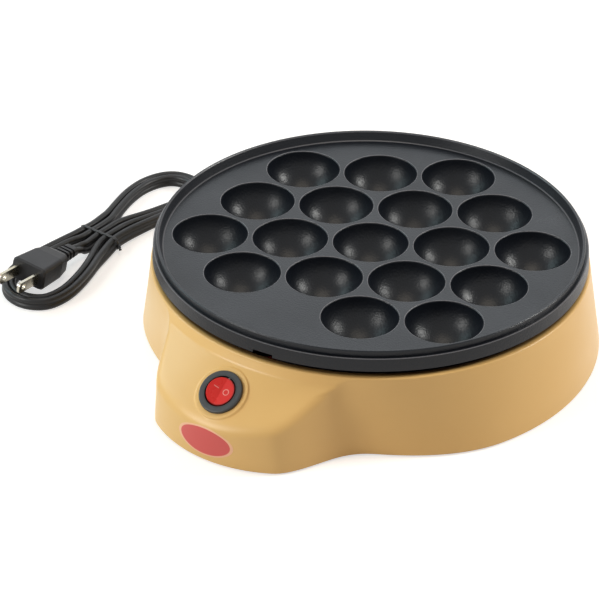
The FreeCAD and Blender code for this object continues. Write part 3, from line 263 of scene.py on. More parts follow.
def wall_radius(bearing, rise):
    """Radius of the upright wall at a height above the lower edge."""
    rim = RIM_RADIUS
    if abs(bearing) <= 33.0:
        rim = smooth_max(rim, edge_plan(bearing, lean=1.9) - 1.6, 3.0)
    share = min(1.0, rise / RIM_RISE)
    return edge_plan(bearing) * (1 - share) + rim * share


def slope_radius(rise):
    """Radius at which the nose's sloping top is this high above the lower edge."""
    return SLOPE_RADIUS - (rise - SLOPE_TOP) / math.tan(SLOPE)


def skin_radius(bearing, rise):
    """Outer skin: the wall, cut off by the nose's sloping top and by the band below the rim."""
    top = slope_radius(rise)
    if rise > SLOPE_TOP:
        top = max(top, SLOPE_RADIUS - (rise - SLOPE_TOP) / BAND_RISE * BAND_RUN)
    blend = 5.0 * min(1.0, max(0.0, (SLOPE_TOP - rise) / 3.5))
    radius = smooth_min(wall_radius(bearing, rise), max(top, RIM_RADIUS), blend)
    if rise > RIM_RISE:
        share = min(1.0, (rise - RIM_RISE) / RIM_ROUNDING)
        radius -= RIM_LIP * (1 - math.sqrt(1 - share * share))
    return radius


def lining_radius(bearing, rise):
    """Inner skin: a wall's thickness inside the outer one, kept clear of the tub."""
    side = wall_radius(bearing, rise) - WALL
    return max(smooth_min(side, max(slope_radius(rise + 2.95), TUB_RADIUS), WALL), 111.9)


def switch_place(x, y, z):
    """A point given in mm in the switch's frame: origin on the nose's slope, third axis out of it."""
    return place(x, y * math.cos(SLOPE) - z * math.sin(SLOPE) - SWITCH_AHEAD,
                 y * math.sin(SLOPE) + z * math.cos(SLOPE) + SWITCH_HEIGHT)


def gland_place(x, y, z):
    """A point given in mm about the cord gland, the third axis pointing out of the back."""
    return place(x, z, GLAND_HEIGHT - y)


def skin_height(x, y):
    """How high the outer skin lies over a point of the switch's frame."""
    low, high = -7.0, 4.0
    for _ in range(30):
        middle = (low + high) / 2
        point = switch_place(x, y, middle)
        across, ahead = point.x / MM, PLATE_Y - point.y / MM
        bearing = math.degrees(math.atan2(across, ahead))
        if math.hypot(across, ahead) < skin_radius(bearing, point.z / MM - FLOOR_GAP):
            low = middle
        else:
            high = middle
    return low


housing, build = add_mesh("housing_shell")
outer_rises = [0.0, 0.15, 0.45, 1.0]
outer_rises += [2.5 * i for i in range(1, 8)]
outer_rises += [18.0 + 0.62 * i for i in range(43)]
outer_rises += [RIM_RISE + RIM_ROUNDING * share for share in (0.0, 0.25, 0.5, 0.7, 0.85, 0.95, 0.99, 1.0)]
inner_rises = [41.6, 40.0, 38.0, 36.0, 34.0, 32.0, 30.0, 27.6, 25.0, 22.0, 18.0, 12.0, 6.0, 0.6, 0.0]
edge_softening = {0.0: 0.45, 0.15: 0.2, 0.45: 0.05}
bearings = [0.75 * i for i in range(-96, 97)] + [72.0 + 1.5 * i for i in range(1, 144)]


def turned_ring(build, radius_at, height):
    """A ring of vertices at one height, its radius given by the bearing."""
    ring = []
    for bearing in bearings:
        signed = bearing if bearing <= 180 else bearing - 360
        turn = math.radians(bearing)
        radius = radius_at(signed)
        ring.append(build.verts.new(place(radius * math.sin(turn), -radius * math.cos(turn), height)))
    return ring


rings = [turned_ring(build, lambda b: skin_radius(b, rise) - edge_softening.get(rise, 0.0),
                     FLOOR_GAP + rise) for rise in outer_rises]
for radius, height in ((TUB_RADIUS + 0.45, 46.7), (TUB_RADIUS + 0.15, 46.6), (TUB_RADIUS, 46.3),
                       (TUB_RADIUS, 31.0), (LEDGE_RADIUS, 31.0), (LEDGE_RADIUS, 28.6), (TUB_OUTSIDE, 28.6),
                       (TUB_OUTSIDE, 42.6)):
    rings.append(turned_ring(build, lambda b: radius, height))
rings += [turned_ring(build, lambda b: lining_radius(b, rise), FLOOR_GAP + rise) for rise in inner_rises]
bridge(build, rings, closed=True)
close_mesh(housing, build)


def cut_round(piece, name, radius, low, high, frame_of):
    """Cuts a round hole through a piece, along the third axis of a frame."""
    mesh = bpy.data.meshes.new(name)
    build = bmesh.new()
    ends = lathe(build, [(radius, low), (radius, high)], frame_of)
    build.faces.new(ends[0])
    build.faces.new(ends[1])
    bmesh.ops.recalc_face_normals(build, faces=build.faces)
    build.to_mesh(mesh)
    build.free()
    tool = bpy.data.objects.new(name, mesh)
    bpy.context.scene.collection.objects.link(tool)
    cut = piece.modifiers.new(name, "BOOLEAN")
    cut.operation = "DIFFERENCE"
    cut.solver = "EXACT"
    cut.object = tool
    bpy.context.view_layer.update()
    result = bpy.data.meshes.new_from_object(piece.evaluated_get(bpy.context.evaluated_depsgraph_get()))
    piece.modifiers.clear()
    piece.data = result
    bpy.data.objects.remove(tool)


cut_round(housing, "switch_opening", SWITCH_CUT_RADIUS, -6.0, 4.0, switch_place)
cut_round(housing, "gland_opening", GLAND_CUT_RADIUS, 108.0, 126.0, gland_place)

build = bmesh.new()
build.from_mesh(housing.data)
pad_turns = [2 * math.pi * i / PAD_STEPS for i in range(PAD_STEPS)]
pad_rings = []
for radius in (15.1, 14.9, 14.7, 14.5, 14.3, 14.1, 13.9, 13.7, 13.4, 12.4, 10.4, BARREL_RADIUS):
    ring = []
    for turn in pad_turns:
        x, y = radius * math.cos(turn), radius * math.sin(turn)
        skin = skin_height(x, y)
        share = smoothstep((PAD_EDGE - radius) / PAD_BLEND)
        height = skin + (PAD_HEIGHT - skin) * share - (0.15 if radius > 15.0 else 0.0)
        if radius == BARREL_RADIUS:
            height = 0.3
        ring.append(build.verts.new(switch_place(x, y, height)))
    pad_rings.append(ring)
for radius, height in ((BARREL_RADIUS, -4.0), (14.0, -4.0), (14.0, -2.4)):
    spots = [switch_place(radius * math.cos(turn), radius * math.sin(turn), height) for turn in pad_turns]
    pad_rings.append([build.verts.new(spot) for spot in spots])
bridge(build, pad_rings)
gland_profile = [(8.4, 116.5), (8.4, 121.0), (8.25, 121.35), (7.9, 121.5), (5.6, 121.5), (5.5, 121.4),
                 (5.5, 115.4), (8.4, 115.4)]
lathe(build, gland_profile, gland_place, closed=True)
close_mesh(housing, build)
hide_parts("housing")


def group_socket(group, name, kind, output=False, value=None):
    direction = "OUTPUT" if output else "INPUT"
    socket = group.interface.new_socket(name, in_out=direction, socket_type=kind)
    if value is not None:
        socket.default_value = value
    return socket


def noise(tree, where, scale, detail, roughness=0.5):
    node = tree.nodes.new("ShaderNodeTexNoise")
    for name, given in (("Vector", where), ("Scale", scale), ("Detail", detail), ("Roughness", roughness)):
        feed(tree, node.inputs[name], given)
    return node.outputs["Fac"]


def window(tree, value, low, high, soft):
    """1 where a value lies between two limits, fading out over a soft width at each."""
    return arithmetic(tree, "MULTIPLY", map_range(tree, value, low, low + soft, 0.0, 1.0),
                      map_range(tree, value, high - soft, high, 1.0, 0.0))


def from_axis(tree, first, second):
    """Distance from an axis, from the two coordinates across it."""
    squares = [arithmetic(tree, "MULTIPLY", value, value) for value in (first, second)]
    return arithmetic(tree, "POWER", arithmetic(tree, "ADD", *squares), 0.5)


def object_place(tree):
    """X, Y and Z of the shaded point in the part's frame, in metres, Y from the plate's axis."""
    spot = tree.nodes.new("ShaderNodeSeparateXYZ")
    tree.links.new(tree.nodes.new("ShaderNodeTexCoord").outputs["Object"], spot.inputs[0])
    behind = arithmetic(tree, "SUBTRACT", spot.outputs["Y"], PLATE_Y * MM)
    return spot.outputs["X"], behind, spot.outputs["Z"]


def tint(material, share, colour):
    """Lays one more colour over a material's own where a share says so."""
    tree = material.node_tree
    mixed = blend_colour(tree, share, tree.nodes["surface_detail"].outputs["Colour"], linear(*colour))
    tree.links.new(mixed, tree.nodes["Principled BSDF"].inputs["Base Color"])


surface = bpy.data.node_groups.new("surface_detail", "ShaderNodeTree")
for socket_name, kind, value in (
        ("Colour", "NodeSocketColor", None), ("Patch colour", "NodeSocketColor", None),
        ("Worn colour", "NodeSocketColor", None), ("Patch scale", "NodeSocketFloat", 25.0),
        ("Grain scale", "NodeSocketFloat", 1500.0), ("Roughness", "NodeSocketFloat", 0.4),
        ("Roughness spread", "NodeSocketFloat", 0.08), ("Wear", "NodeSocketFloat", 0.0),
        ("Scuffs", "NodeSocketFloat", 0.0)):
    group_socket(surface, socket_name, kind, value=value)
for socket_name, kind in (("Colour", "NodeSocketColor"), ("Roughness", "NodeSocketFloat"),
                          ("Height", "NodeSocketFloat")):
    group_socket(surface, socket_name, kind, output=True)
given = surface.nodes.new("NodeGroupInput")
result = surface.nodes.new("NodeGroupOutput")
where = surface.nodes.new("ShaderNodeTexCoord").outputs["Object"]
patches = noise(surface, where, given.outputs["Patch scale"], 4.0, 0.55)
grain = noise(surface, where, given.outputs["Grain scale"], 3.0)
stretch = surface.nodes.new("ShaderNodeMapping")
stretch.inputs["Scale"].default_value = (1.0, 7.0, 3.0)
stretch.inputs["Rotation"].default_value = (0.3, 0.2, 0.7)
surface.links.new(where, stretch.inputs["Vector"])
scratches = noise(surface, stretch.outputs["Vector"], 420.0, 2.0)
thin = map_range(surface, scratches, 0.66, 0.72, 0.0, 1.0)
scuffs = arithmetic(surface, "MULTIPLY", thin, given.outputs["Scuffs"])
edges = surface.nodes.new("ShaderNodeNewGeometry").outputs["Pointiness"]
ridge = map_range(surface, edges, 0.53, 0.62, 0.0, 1.0)
patchy = map_range(surface, patches, 0.35, 0.65, 0.2, 1.0)
worn = arithmetic(surface, "MULTIPLY", ridge, patchy)
worn = arithmetic(surface, "MULTIPLY", worn, given.outputs["Wear"])
patch_share = map_range(surface, patches, 0.3, 0.7, 0.0, 1.0)
tinted = blend_colour(surface, patch_share, given.outputs["Colour"], given.outputs["Patch colour"])
aged = blend_colour(surface, worn, tinted, given.outputs["Worn colour"])
scuffed = blend_colour(surface, scuffs, aged, given.outputs["Worn colour"])
surface.links.new(scuffed, result.inputs["Colour"])
spread = map_range(surface, patches, 0.3, 0.7, -1.0, 1.0)
change = arithmetic(surface, "MULTIPLY", spread, given.outputs["Roughness spread"])
polish = arithmetic(surface, "ADD", given.outputs["Roughness"], change)
surface.links.new(arithmetic(surface, "ADD", polish, arithmetic(surface, "MULTIPLY", scuffs, 0.25)),
                  result.inputs["Roughness"])
surface.links.new(arithmetic(surface, "SUBTRACT", grain, arithmetic(surface, "MULTIPLY", scuffs, 0.3)),
                  result.inputs["Height"])


def finish(name, colour, patch_colour, roughness, relief=0.00002, grain=1500.0, patch=25.0, spread=0.06,
           worn=None, wear=0.0, scuff=0.0, metallic=0.0, specular=0.5):
    """A material with the shared surface detail. Colours are 0-255 display values, relief is in metres."""
    material = bpy.data.materials.new(name)
    material.use_nodes = True
    tree = material.node_tree
    shader = tree.nodes["Principled BSDF"]
    detail = tree.nodes.new("ShaderNodeGroup")
    detail.node_tree = surface
    detail.name = "surface_detail"
    detail.inputs["Colour"].default_value = linear(*colour)
    detail.inputs["Patch colour"].default_value = linear(*patch_colour)
    detail.inputs["Worn colour"].default_value = linear(*(worn or colour))
    for socket, value in (("Patch scale", patch), ("Grain scale", grain), ("Roughness", roughness),
                          ("Roughness spread", spread), ("Wear", wear), ("Scuffs", scuff)):
        detail.inputs[socket].default_value = value
    tree.links.new(detail.outputs["Colour"], shader.inputs["Base Color"])
    tree.links.new(detail.outputs["Roughness"], shader.inputs["Roughness"])
    shader.inputs["Metallic"].default_value = metallic
    shader.inputs["Specular IOR Level"].default_value = specular
    bump = tree.nodes.new("ShaderNodeBump")
    bump.inputs["Strength"].default_value = 1.0
    bump.inputs["Distance"].default_value = relief
    tree.links.new(detail.outputs["Height"], bump.inputs["Height"])
    tree.links.new(bump.outputs["Normal"], shader.inputs["Normal"])
    return material


def dress(material, *names):
    """Gives a material to nodes whose own shape stays."""
    for name in names:
        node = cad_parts[name]
        node.data.materials.clear()
        node.data.materials.append(material)


yellow_plastic = finish("yellow_plastic", (239, 198, 127), (236, 194, 123), 0.32, relief=0.000012,
                        grain=1400, patch=18, spread=0.04, worn=(243, 211, 150), wear=0.25, scuff=0.12,
                        specular=0.42)
UNDER_PLATE_SHADE = (84, 58, 30)            # painted shade: the rim's inner land under the plate's skirt, and the tub, painted dark brown
tree = yellow_plastic.node_tree
across, behind, up = object_place(tree)
inside_rim = map_range(tree, from_axis(tree, across, behind), 0.1112, 0.1128, 0.9, 0.0)
over_ledge = map_range(tree, up, 0.0290, 0.0310, 0.0, 1.0)
# Painted shade: darkens the yellow inside the rim and over the ledge, where the plate's skirt shades it.
tint(yellow_plastic, arithmetic(tree, "MULTIPLY", inside_rim, over_ledge), UNDER_PLATE_SHADE)
housing.data.materials.append(yellow_plastic)

# ---- Front label ----
# An oval sticker on the nose's front: a red field inside a pale border, bent round the moulding.

label, build = add_mesh("oval_label")


def on_front(x, z, proud):
    """A point of the nose's front wall, straight behind a place in front view."""
    low, high = -28.0, 28.0
    for _ in range(40):
        bearing = (low + high) / 2
        if skin_radius(bearing, z - FLOOR_GAP) * math.sin(math.radians(bearing)) < x:
            low = bearing
        else:
            high = bearing
    radius = skin_radius(bearing, z - FLOOR_GAP) + proud
    turn = math.radians(bearing)
    return place(radius * math.sin(turn), -radius * math.cos(turn), z)


LABEL_HALF_WIDTH, LABEL_HALF_HEIGHT, LABEL_Z, LABEL_PROUD = 16.5, 8.0, 12.0, 0.1
LABEL_STEPS = 96
label_profile = [(share, LABEL_PROUD) for share in (0.06, 0.3, 0.55, 0.8, 0.92, 0.98)]
label_profile += [(1.0, 0.05), (1.0, -0.25)]
label_rings = []
for share, proud in label_profile:
    ring = []
    for i in range(LABEL_STEPS):
        turn = 2 * math.pi * i / LABEL_STEPS
        x = LABEL_HALF_WIDTH * share * math.cos(turn)
        z = LABEL_Z + LABEL_HALF_HEIGHT * share * math.sin(turn)
        ring.append(build.verts.new(on_front(x, z, proud)))
    label_rings.append(ring)
bridge(build, label_rings)
build.faces.new(label_rings[0])
close_mesh(label, build, sharp=50.0)
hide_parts("front_label")

label_print = finish("label_print", (224, 96, 91), (219, 90, 86), 0.3, relief=0.000004, grain=2500,
                     spread=0.05)
BORDER_INSIDE, BORDER_CLEAR, BORDER_COLOUR = 0.894, 0.917, (250, 196, 158)
tree = label_print.node_tree
across, _, up = object_place(tree)
width_share = arithmetic(tree, "DIVIDE", across, LABEL_HALF_WIDTH * MM)
from_middle = arithmetic(tree, "SUBTRACT", up, LABEL_Z * MM)
height_share = arithmetic(tree, "DIVIDE", from_middle, LABEL_HALF_HEIGHT * MM)
outward = from_axis(tree, width_share, height_share)
tint(label_print, map_range(tree, outward, BORDER_INSIDE, BORDER_CLEAR, 0.0, 1.0), BORDER_COLOUR)
label.data.materials.append(label_print)

# ---- Bottom cover, feet and rating plate ----
# A flat yellow moulding with vent slots, held up into the housing by four screws, on four rubber feet.
# The rating plate is a blank foil. The screws' steel serves for the other small steel pieces too.

cover_plastic = finish("cover_plastic", (226, 192, 132), (221, 186, 125), 0.5, relief=0.00003, grain=1300,
                       patch=20, worn=(236, 208, 156), wear=0.3, scuff=0.4)
dress(cover_plastic, "bottom_cover", "cord_clamp")
foot_rubber = finish("foot_rubber", (62, 62, 63), (52, 52, 53), 0.8, relief=0.00005, grain=2600, patch=60,
                     worn=(96, 94, 90), wear=0.6, scuff=0.3)
dress(foot_rubber, "rubber_feet")
screw_steel = finish("screw_steel", (176, 176, 174), (160, 158, 152), 0.3, relief=0.00001, grain=2600,
                     patch=90, worn=(205, 205, 200), wear=0.6, scuff=0.5, metallic=1.0)
dress(screw_steel, "cover_screws", "plate_screws", "plate_washers", "strap_screws", "thermostat_screws",
      "clamp_screws", "rocker_pin", "thermal_fuse")
foil_label = finish("foil_label", (205, 205, 206), (192, 192, 194), 0.38, relief=0.00001, grain=900,
                    patch=30, worn=(225, 225, 225), wear=0.2, scuff=0.5, metallic=0.7)
dress(foil_label, "base_label")

# ---- Cooking plate ----
# A heavy aluminium casting under a dark non-stick coating with a fine orange peel. Thin paler lines are
# painted on the lips of the wells, on the step at the rim, and at the foot and the crest of the bead, as
# painted highlights.

plate_coating = finish("plate_coating", (17, 21, 28), (14, 18, 24), 0.32, relief=0.00014, grain=1100,
                       patch=22, spread=0.05, worn=(52, 52, 57), wear=0.3, scuff=0.1, specular=0.3)
# Places with painted highlight lines, by height over the floor and distance from the plate's axis, in
# metres, and how strong
LIP_HEIGHTS, LIP_SOFT, LIPS_WITHIN = (0.05556, 0.05569), 0.00003, (0.1078, 0.1079)
STEP_HEIGHTS, STEP_REACH, STEP_STRENGTH = (0.05695, 0.05735), (0.1123, 0.1132), 0.65
FOOT_REACH, CREST_REACH, BEAD_STRENGTH = (0.10755, 0.10815), (0.10965, 0.11015), 0.35
TOP_SIDE = (0.05568, 0.0557)
HIGHLIGHT_SOFT, PAINTED_HIGHLIGHT_COLOUR = 0.0001, (146, 148, 156)
tree = plate_coating.node_tree
across, behind, up = object_place(tree)
reach = from_axis(tree, across, behind)
lips = arithmetic(tree, "MULTIPLY", window(tree, up, *LIP_HEIGHTS, LIP_SOFT),
                  map_range(tree, reach, *LIPS_WITHIN, 1.0, 0.0))
step = arithmetic(tree, "MULTIPLY", window(tree, up, *STEP_HEIGHTS, HIGHLIGHT_SOFT),
                  arithmetic(tree, "MULTIPLY", window(tree, reach, *STEP_REACH, HIGHLIGHT_SOFT), STEP_STRENGTH))
foot, crest = [arithmetic(tree, "MULTIPLY", window(tree, reach, *limits, HIGHLIGHT_SOFT), BEAD_STRENGTH)
               for limits in (FOOT_REACH, CREST_REACH)]
bead = arithmetic(tree, "MULTIPLY", arithmetic(tree, "MAXIMUM", foot, crest),
                  map_range(tree, up, *TOP_SIDE, 0.0, 1.0))
painted_highlight = arithmetic(tree, "MAXIMUM", arithmetic(tree, "MAXIMUM", lips, step), bead)
broken = noise(tree, tree.nodes["surface_detail"].outputs["Height"], 3.0, 1.0)
painted_highlight = arithmetic(tree, "MULTIPLY", painted_highlight, map_range(tree, broken, 0.2, 0.8, 0.7, 1.0))
# Painted highlights: the paler lines stand in for light caught on the lips, the step and the bead.
tint(plate_coating, painted_highlight, PAINTED_HIGHLIGHT_COLOUR)
dress(plate_coating, "cooking_plate")

# ---- Heating element ----
# A steel-sheathed tube under the wells, dulled by heat, with its pins, ceramic beads and straps. The heat
# shield and the small sheet brackets are of the same bare steel as the straps.

heater_sheath = finish("heater_sheath", (118, 112, 104), (92, 84, 78), 0.45, relief=0.00003, grain=1500,
                       patch=45, spread=0.1, worn=(150, 144, 136), wear=0.4, scuff=0.4, metallic=0.9)
dress(heater_sheath, "heating_element", "heater_pins")
ceramic = finish("ceramic", (232, 229, 222), (222, 217, 207), 0.6, relief=0.00004, grain=1600, patch=60,
                 worn=(240, 238, 232), wear=0.3)
dress(ceramic, "terminal_beads", "wire_bush")
shield_steel = finish("shield_steel", (172, 173, 176), (150, 151, 155), 0.34, relief=0.00002, grain=1200,
                      patch=26, spread=0.08, worn=(200, 200, 200), wear=0.5, scuff=0.6, metallic=1.0)
dress(shield_steel, "heater_straps", "heat_shield", "thermostat_bracket", "fuse_clip")

# ---- Thermostat and thermal fuse ----
# A moulded phenolic thermostat under the plate's plain front corner, and a fuse in a fibreglass sleeve
# beside it.

thermostat_body = finish("thermostat_body", (66, 48, 38), (54, 39, 31), 0.42, relief=0.00003, grain=1600,
                         patch=50, worn=(92, 72, 60), wear=0.4)
dress(thermostat_body, "thermostat")
fibreglass_sleeve = finish("fibreglass_sleeve", (228, 222, 208), (214, 206, 188), 0.85, relief=0.00008,
                           grain=3200, patch=70, spread=0.05)
dress(fibreglass_sleeve, "fuse_sleeve")

# ---- Rocker switch ----
# A black nylon bezel and barrel snapped into the nose, with a red polycarbonate rocker that is pressed down
# on its right half. A bar and a ring are printed on it in pale ink. The bezel's inner edge and the rocker's
# rim carry painted shade, for where they lie in each other's shade.

BEZEL_EDGE, BEZEL_SHADE = (0.0087, 0.0092, 1.0, 0.0), (12, 12, 13)
ROCKER_RIM, ROCKER_SHADE = (0.0068, 0.0077, 0.0, 0.85), (70, 18, 18)


def from_switch_axis(tree):
    """Distance from the switch's axis, in metres."""
    seat = tree.nodes.new("ShaderNodeMapping")
    seat.vector_type = "TEXTURE"
    seat.inputs["Location"].default_value = switch_place(0, 0, 0)
    seat.inputs["Rotation"].default_value = (SLOPE, 0.0, 0.0)
    tree.links.new(tree.nodes.new("ShaderNodeTexCoord").outputs["Object"], seat.inputs["Vector"])
    spot = tree.nodes.new("ShaderNodeSeparateXYZ")
    tree.links.new(seat.outputs["Vector"], spot.inputs[0])
    return from_axis(tree, spot.outputs["X"], spot.outputs["Y"])


def shade_round_switch(material, limits, colour):
    """Paints shade on a material over a range of distances from the switch's axis, in metres."""
    tree = material.node_tree
    tint(material, map_range(tree, from_switch_axis(tree), *limits), colour)


switch_black = finish("switch_black", (46, 48, 50), (40, 42, 44), 0.36, relief=0.00001, grain=2600,
                      patch=60, worn=(78, 82, 86), wear=0.3, scuff=0.15)
shade_round_switch(switch_black, BEZEL_EDGE, BEZEL_SHADE)
dress(switch_black, "switch_body")
switch_red = finish("switch_red", (226, 38, 32), (219, 32, 27), 0.28, relief=0.000006, grain=2200, patch=90,
                    worn=(232, 90, 80), wear=0.3, scuff=0.15, specular=0.35)
shade_round_switch(switch_red, ROCKER_RIM, ROCKER_SHADE)
dress(switch_red, "switch_rocker")

RAISED_HALF = math.tan(math.radians(20.0))
ROCKER_TOP, ROCKER_FOLD = 2.262, 0.434
INK_TOP, INK_FOOT = 0.06, -0.05
RING_INSIDE, RING_OUTSIDE, RING_X, RING_Y = 1.25, 1.68, 3.3, 0.5


def rocker_top(x, y, proud):
    """A point of the rocker's top: flat right of its middle line, rising to the left of it."""
    height = ROCKER_TOP + max(0.0, ROCKER_FOLD - x) * RAISED_HALF
    return switch_place(x, y, height + proud)


marks, build = add_mesh("switch_marks", "rocker")
bar = [(-3.75, 1.6), (-3.8, 1.45), (-3.7, 1.25), (-1.1, 0.9), (-1.0, 1.1), (-1.1, 1.3)]
ends = [[build.verts.new(rocker_top(x, y, proud)) for x, y in bar] for proud in (INK_FOOT, INK_TOP)]
bridge(build, ends)
for end in ends:
    build.faces.new(end)
ring_profile = [(RING_INSIDE, INK_FOOT), (RING_INSIDE, INK_TOP), (RING_OUTSIDE, INK_TOP),
                (RING_OUTSIDE, INK_FOOT)]
lathe(build, ring_profile, lambda x, y, z: rocker_top(RING_X + x, RING_Y + y, z), steps=48, closed=True)
close_mesh(marks, build)
mark_ink = finish("mark_ink", (238, 160, 152), (232, 150, 142), 0.45, relief=0.00001, grain=2600, patch=80)
marks.data.materials.append(mark_ink)

lamp_glass = finish("lamp_glass", (236, 150, 110), (230, 140, 100), 0.12, relief=0.000004, grain=1500,
                    patch=80)
lamp_glass.node_tree.nodes["Principled BSDF"].inputs["Transmission Weight"].default_value = 0.6
dress(lamp_glass, "neon_lamp")
terminal_brass = finish("terminal_brass", (196, 166, 100), (176, 146, 84), 0.3, relief=0.00001, grain=2400,
                        patch=70, worn=(214, 190, 130), wear=0.5, scuff=0.5, metallic=1.0)
dress(terminal_brass, "switch_terminals")
clear_sleeve = finish("clear_sleeve", (214, 210, 192), (206, 200, 180), 0.35, relief=0.00002, grain=1800,
                      patch=60, worn=(226, 222, 206), wear=0.3)
dress(clear_sleeve, "push_on_terminals", "pin_sleeves")

# ---- Wiring ----
# Insulated wires in soft plastic, each from one terminal to the next: black and white from the cord, red
# behind the switch.

for slot, colour, darker, names in (
        ("wire_black", (40, 40, 42), (33, 33, 35), ("wire_live",)),
        ("wire_white", (224, 224, 220), (212, 211, 205), ("wire_neutral", "wire_lamp")),
        ("wire_red", (178, 44, 38), (162, 38, 32), ("wire_switched", "wire_thermostat", "wire_heater"))):
    dress(finish(slot, colour, darker, 0.5, relief=0.00002, grain=2400, patch=80, scuff=0.2), *names)

# ---- Cord ----
# A flat two-core PVC cord, 3.7 x 7.4 mm, that stands on edge: out of the back, round to the left, folded
# into a hank of two front and two rear turns, and up to the plug.

lead_points = [
    (0.0, 149.3, 13.0), (0.0, 158.5, 12.4), (-1.5, 168.5, 9.8), (-12.0, 179.0, 5.6), (-31.0, 184.0, 3.7),
    (-56.0, 180.0, 3.7), (-80.0, 167.0, 3.7), (-102.0, 147.0, 3.7), (-120.0, 123.0, 3.7),
    (-133.5, 99.0, 3.7), (-142.0, 79.0, 3.7), (-146.5, 62.5, 3.7), (-149.4, 49.0, 3.7), (-153.0, 38.0, 3.7),
    (-156.2, 28.5, 3.7), (-158.6, 19.6, 3.7)]
front_edge = [
    (-159.3, -13.4), (-155.2, -32.6), (-151.9, -43.2), (-149.2, -53.3), (-147.3, -64.0), (-147.3, -73.5),
    (-149.6, -82.0), (-154.5, -87.6), (-162.0, -90.9), (-170.5, -90.9), (-179.0, -87.4), (-186.4, -79.6),
    (-190.3, -68.0), (-191.0, -56.0), (-189.6, -41.8), (-186.9, -26.3), (-185.2, -13.5)]
rear_edge = [
    (-184.0, -4.0), (-185.5, 8.5), (-188.9, 20.5), (-191.5, 33.0), (-192.1, 45.0), (-190.2, 54.5),
    (-186.4, 62.2), (-180.5, 67.4), (-173.0, 69.4), (-165.5, 68.8), (-158.6, 65.2), (-154.0, 58.6),
    (-152.4, 50.0), (-153.6, 41.0), (-156.5, 31.0), (-159.5, 21.0), (-161.5, 11.0)]
STRANDS = 5
FIRST_TURN, SECOND_TURN = 1.95, 5.85            # centre lines inside the bundle's outer edge
CORE_RADIUS, WEB_HALF, CORE_STEPS = 1.85, 1.15, 16
TIE_LEAN = math.radians(30.0)


def turn_points(edge, inward):
    """Control points of one turn of the hank, this far inside the bundle's outer edge. They are moved out
    in the bends, as a spline runs inside its control points there."""
    points = []
    for before, here, after in zip(edge, edge[1:], edge[2:]):
        before, here, after = Vector(before), Vector(here), Vector(after)
        run = after - before
        across = Vector((run.y, -run.x)).normalized()
        moved = here + across * inward - (before - 2 * here + after) * 0.11
        points.append((moved.x, moved.y, 3.7))
    return points


def column(index):
    """Control points of one strand where the hank is tied, the first at the right."""
    share = index / (STRANDS - 1)
    rows = [(-161.3, -182.9, 5.0, 3.8), (-162.1, -181.6, -5.0, 4.1), (-161.9, -182.3, -13.0, 4.25),
            (-160.0, -183.4, -21.0, 4.0)]
    return [(right + (left - right) * share, y, z) for right, left, y, z in rows]


plug_points = [(-171.3, -27.0, 4.4), (-172.5, -33.0, 6.3), (-172.8, -39.0, 7.6)]
route = list(lead_points)
for down, inward, up_again in ((0, FIRST_TURN, 4), (1, SECOND_TURN, 3)):
    route += column(down) + turn_points(front_edge, inward)
    route += column(up_again)[::-1] + turn_points(rear_edge, inward)
route += column(2) + plug_points

curve = bpy.data.curves.new("cord_line", "CURVE")
curve.dimensions = "3D"
line = curve.splines.new("NURBS")
line.points.add(len(route) - 1)
for point, position in zip(line.points, route):
    point.co = tuple(place(*position)) + (1.0,)
line.order_u = 3
line.use_endpoint_u = True
line.resolution_u = 8
curve_object = bpy.data.objects.new("cord_line", curve)
bpy.context.scene.collection.objects.link(curve_object)
bpy.context.view_layer.update()
sampled = bpy.data.meshes.new_from_object(curve_object.evaluated_get(bpy.context.evaluated_depsgraph_get()))
centres = [v.co.copy() for v in sampled.vertices]
bpy.data.objects.remove(curve_object)


def cord_section():
    """Half the cord's thickness and width at points round it: two round cores joined by a narrow web."""
    dip = math.acos(WEB_HALF / CORE_RADIUS)
    upper = []
    for i in range(CORE_STEPS + 1):
        turn = -dip + (math.pi + 2 * dip) * i / CORE_STEPS
        upper.append((CORE_RADIUS * math.cos(turn), CORE_RADIUS + CORE_RADIUS * math.sin(turn)))
    waist = WEB_HALF - 0.1
    return upper + [(-waist, 0.0)] + [(-x, -y) for x, y in upper] + [(waist, 0.0)]


SECTION = cord_section()


def lean_at(centre, side):
    """How far the flat cord leans over: to the left at the tie, flat where it enters the plug."""
    y = centre.y / MM - PLATE_Y
    x = centre.x / MM
    tied = smoothstep(1.15 - abs(y + 10.0) / 30.0) * smoothstep((-x - 150.0) / 8.0)
    lean = TIE_LEAN * tied * side.x
    flat = smoothstep((-y - 16.0) / 18.0) * smoothstep((centre.z / MM - 4.1) / 1.6)
    return lean + (math.pi / 2 - lean) * flat


cord, build = add_mesh("cord")
rings = []
for index, centre in enumerate(centres):
    before = centres[max(0, index - 1)]
    after = centres[min(len(centres) - 1, index + 1)]
    along = (after - before).normalized()
    side = Vector((0, 0, 1)).cross(along).normalized()
    up = along.cross(side)
    lean = lean_at(centre, side)
    turned_side = side * math.cos(lean) + up * math.sin(lean)
    turned_up = up * math.cos(lean) - side * math.sin(lean)
    rings.append([build.verts.new(centre + (turned_side * a + turned_up * b) * MM) for a, b in SECTION])
bridge(build, rings)
build.faces.new(rings[0])
build.faces.new(rings[-1])
close_mesh(cord, build, sharp=75.0)
cord_pvc = finish("cord_pvc", (26, 26, 28), (21, 21, 23), 0.42, relief=0.00001, grain=2600, patch=70,
                  spread=0.05, worn=(50, 50, 52), scuff=0.12, specular=0.36)
cord.data.materials.append(cord_pvc)
dress(cord_pvc, "cord_inner")
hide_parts("cord_lead", "cord_hank", "cord_tail")

# ---- Cord tie ----
# A plastic-covered wire laid once round the five strands, its two ends twisted together on the right. The
# covering is flat where it lies on the strands.

TWIST_TURNS, TWIST_STEPS = 1.6, 24


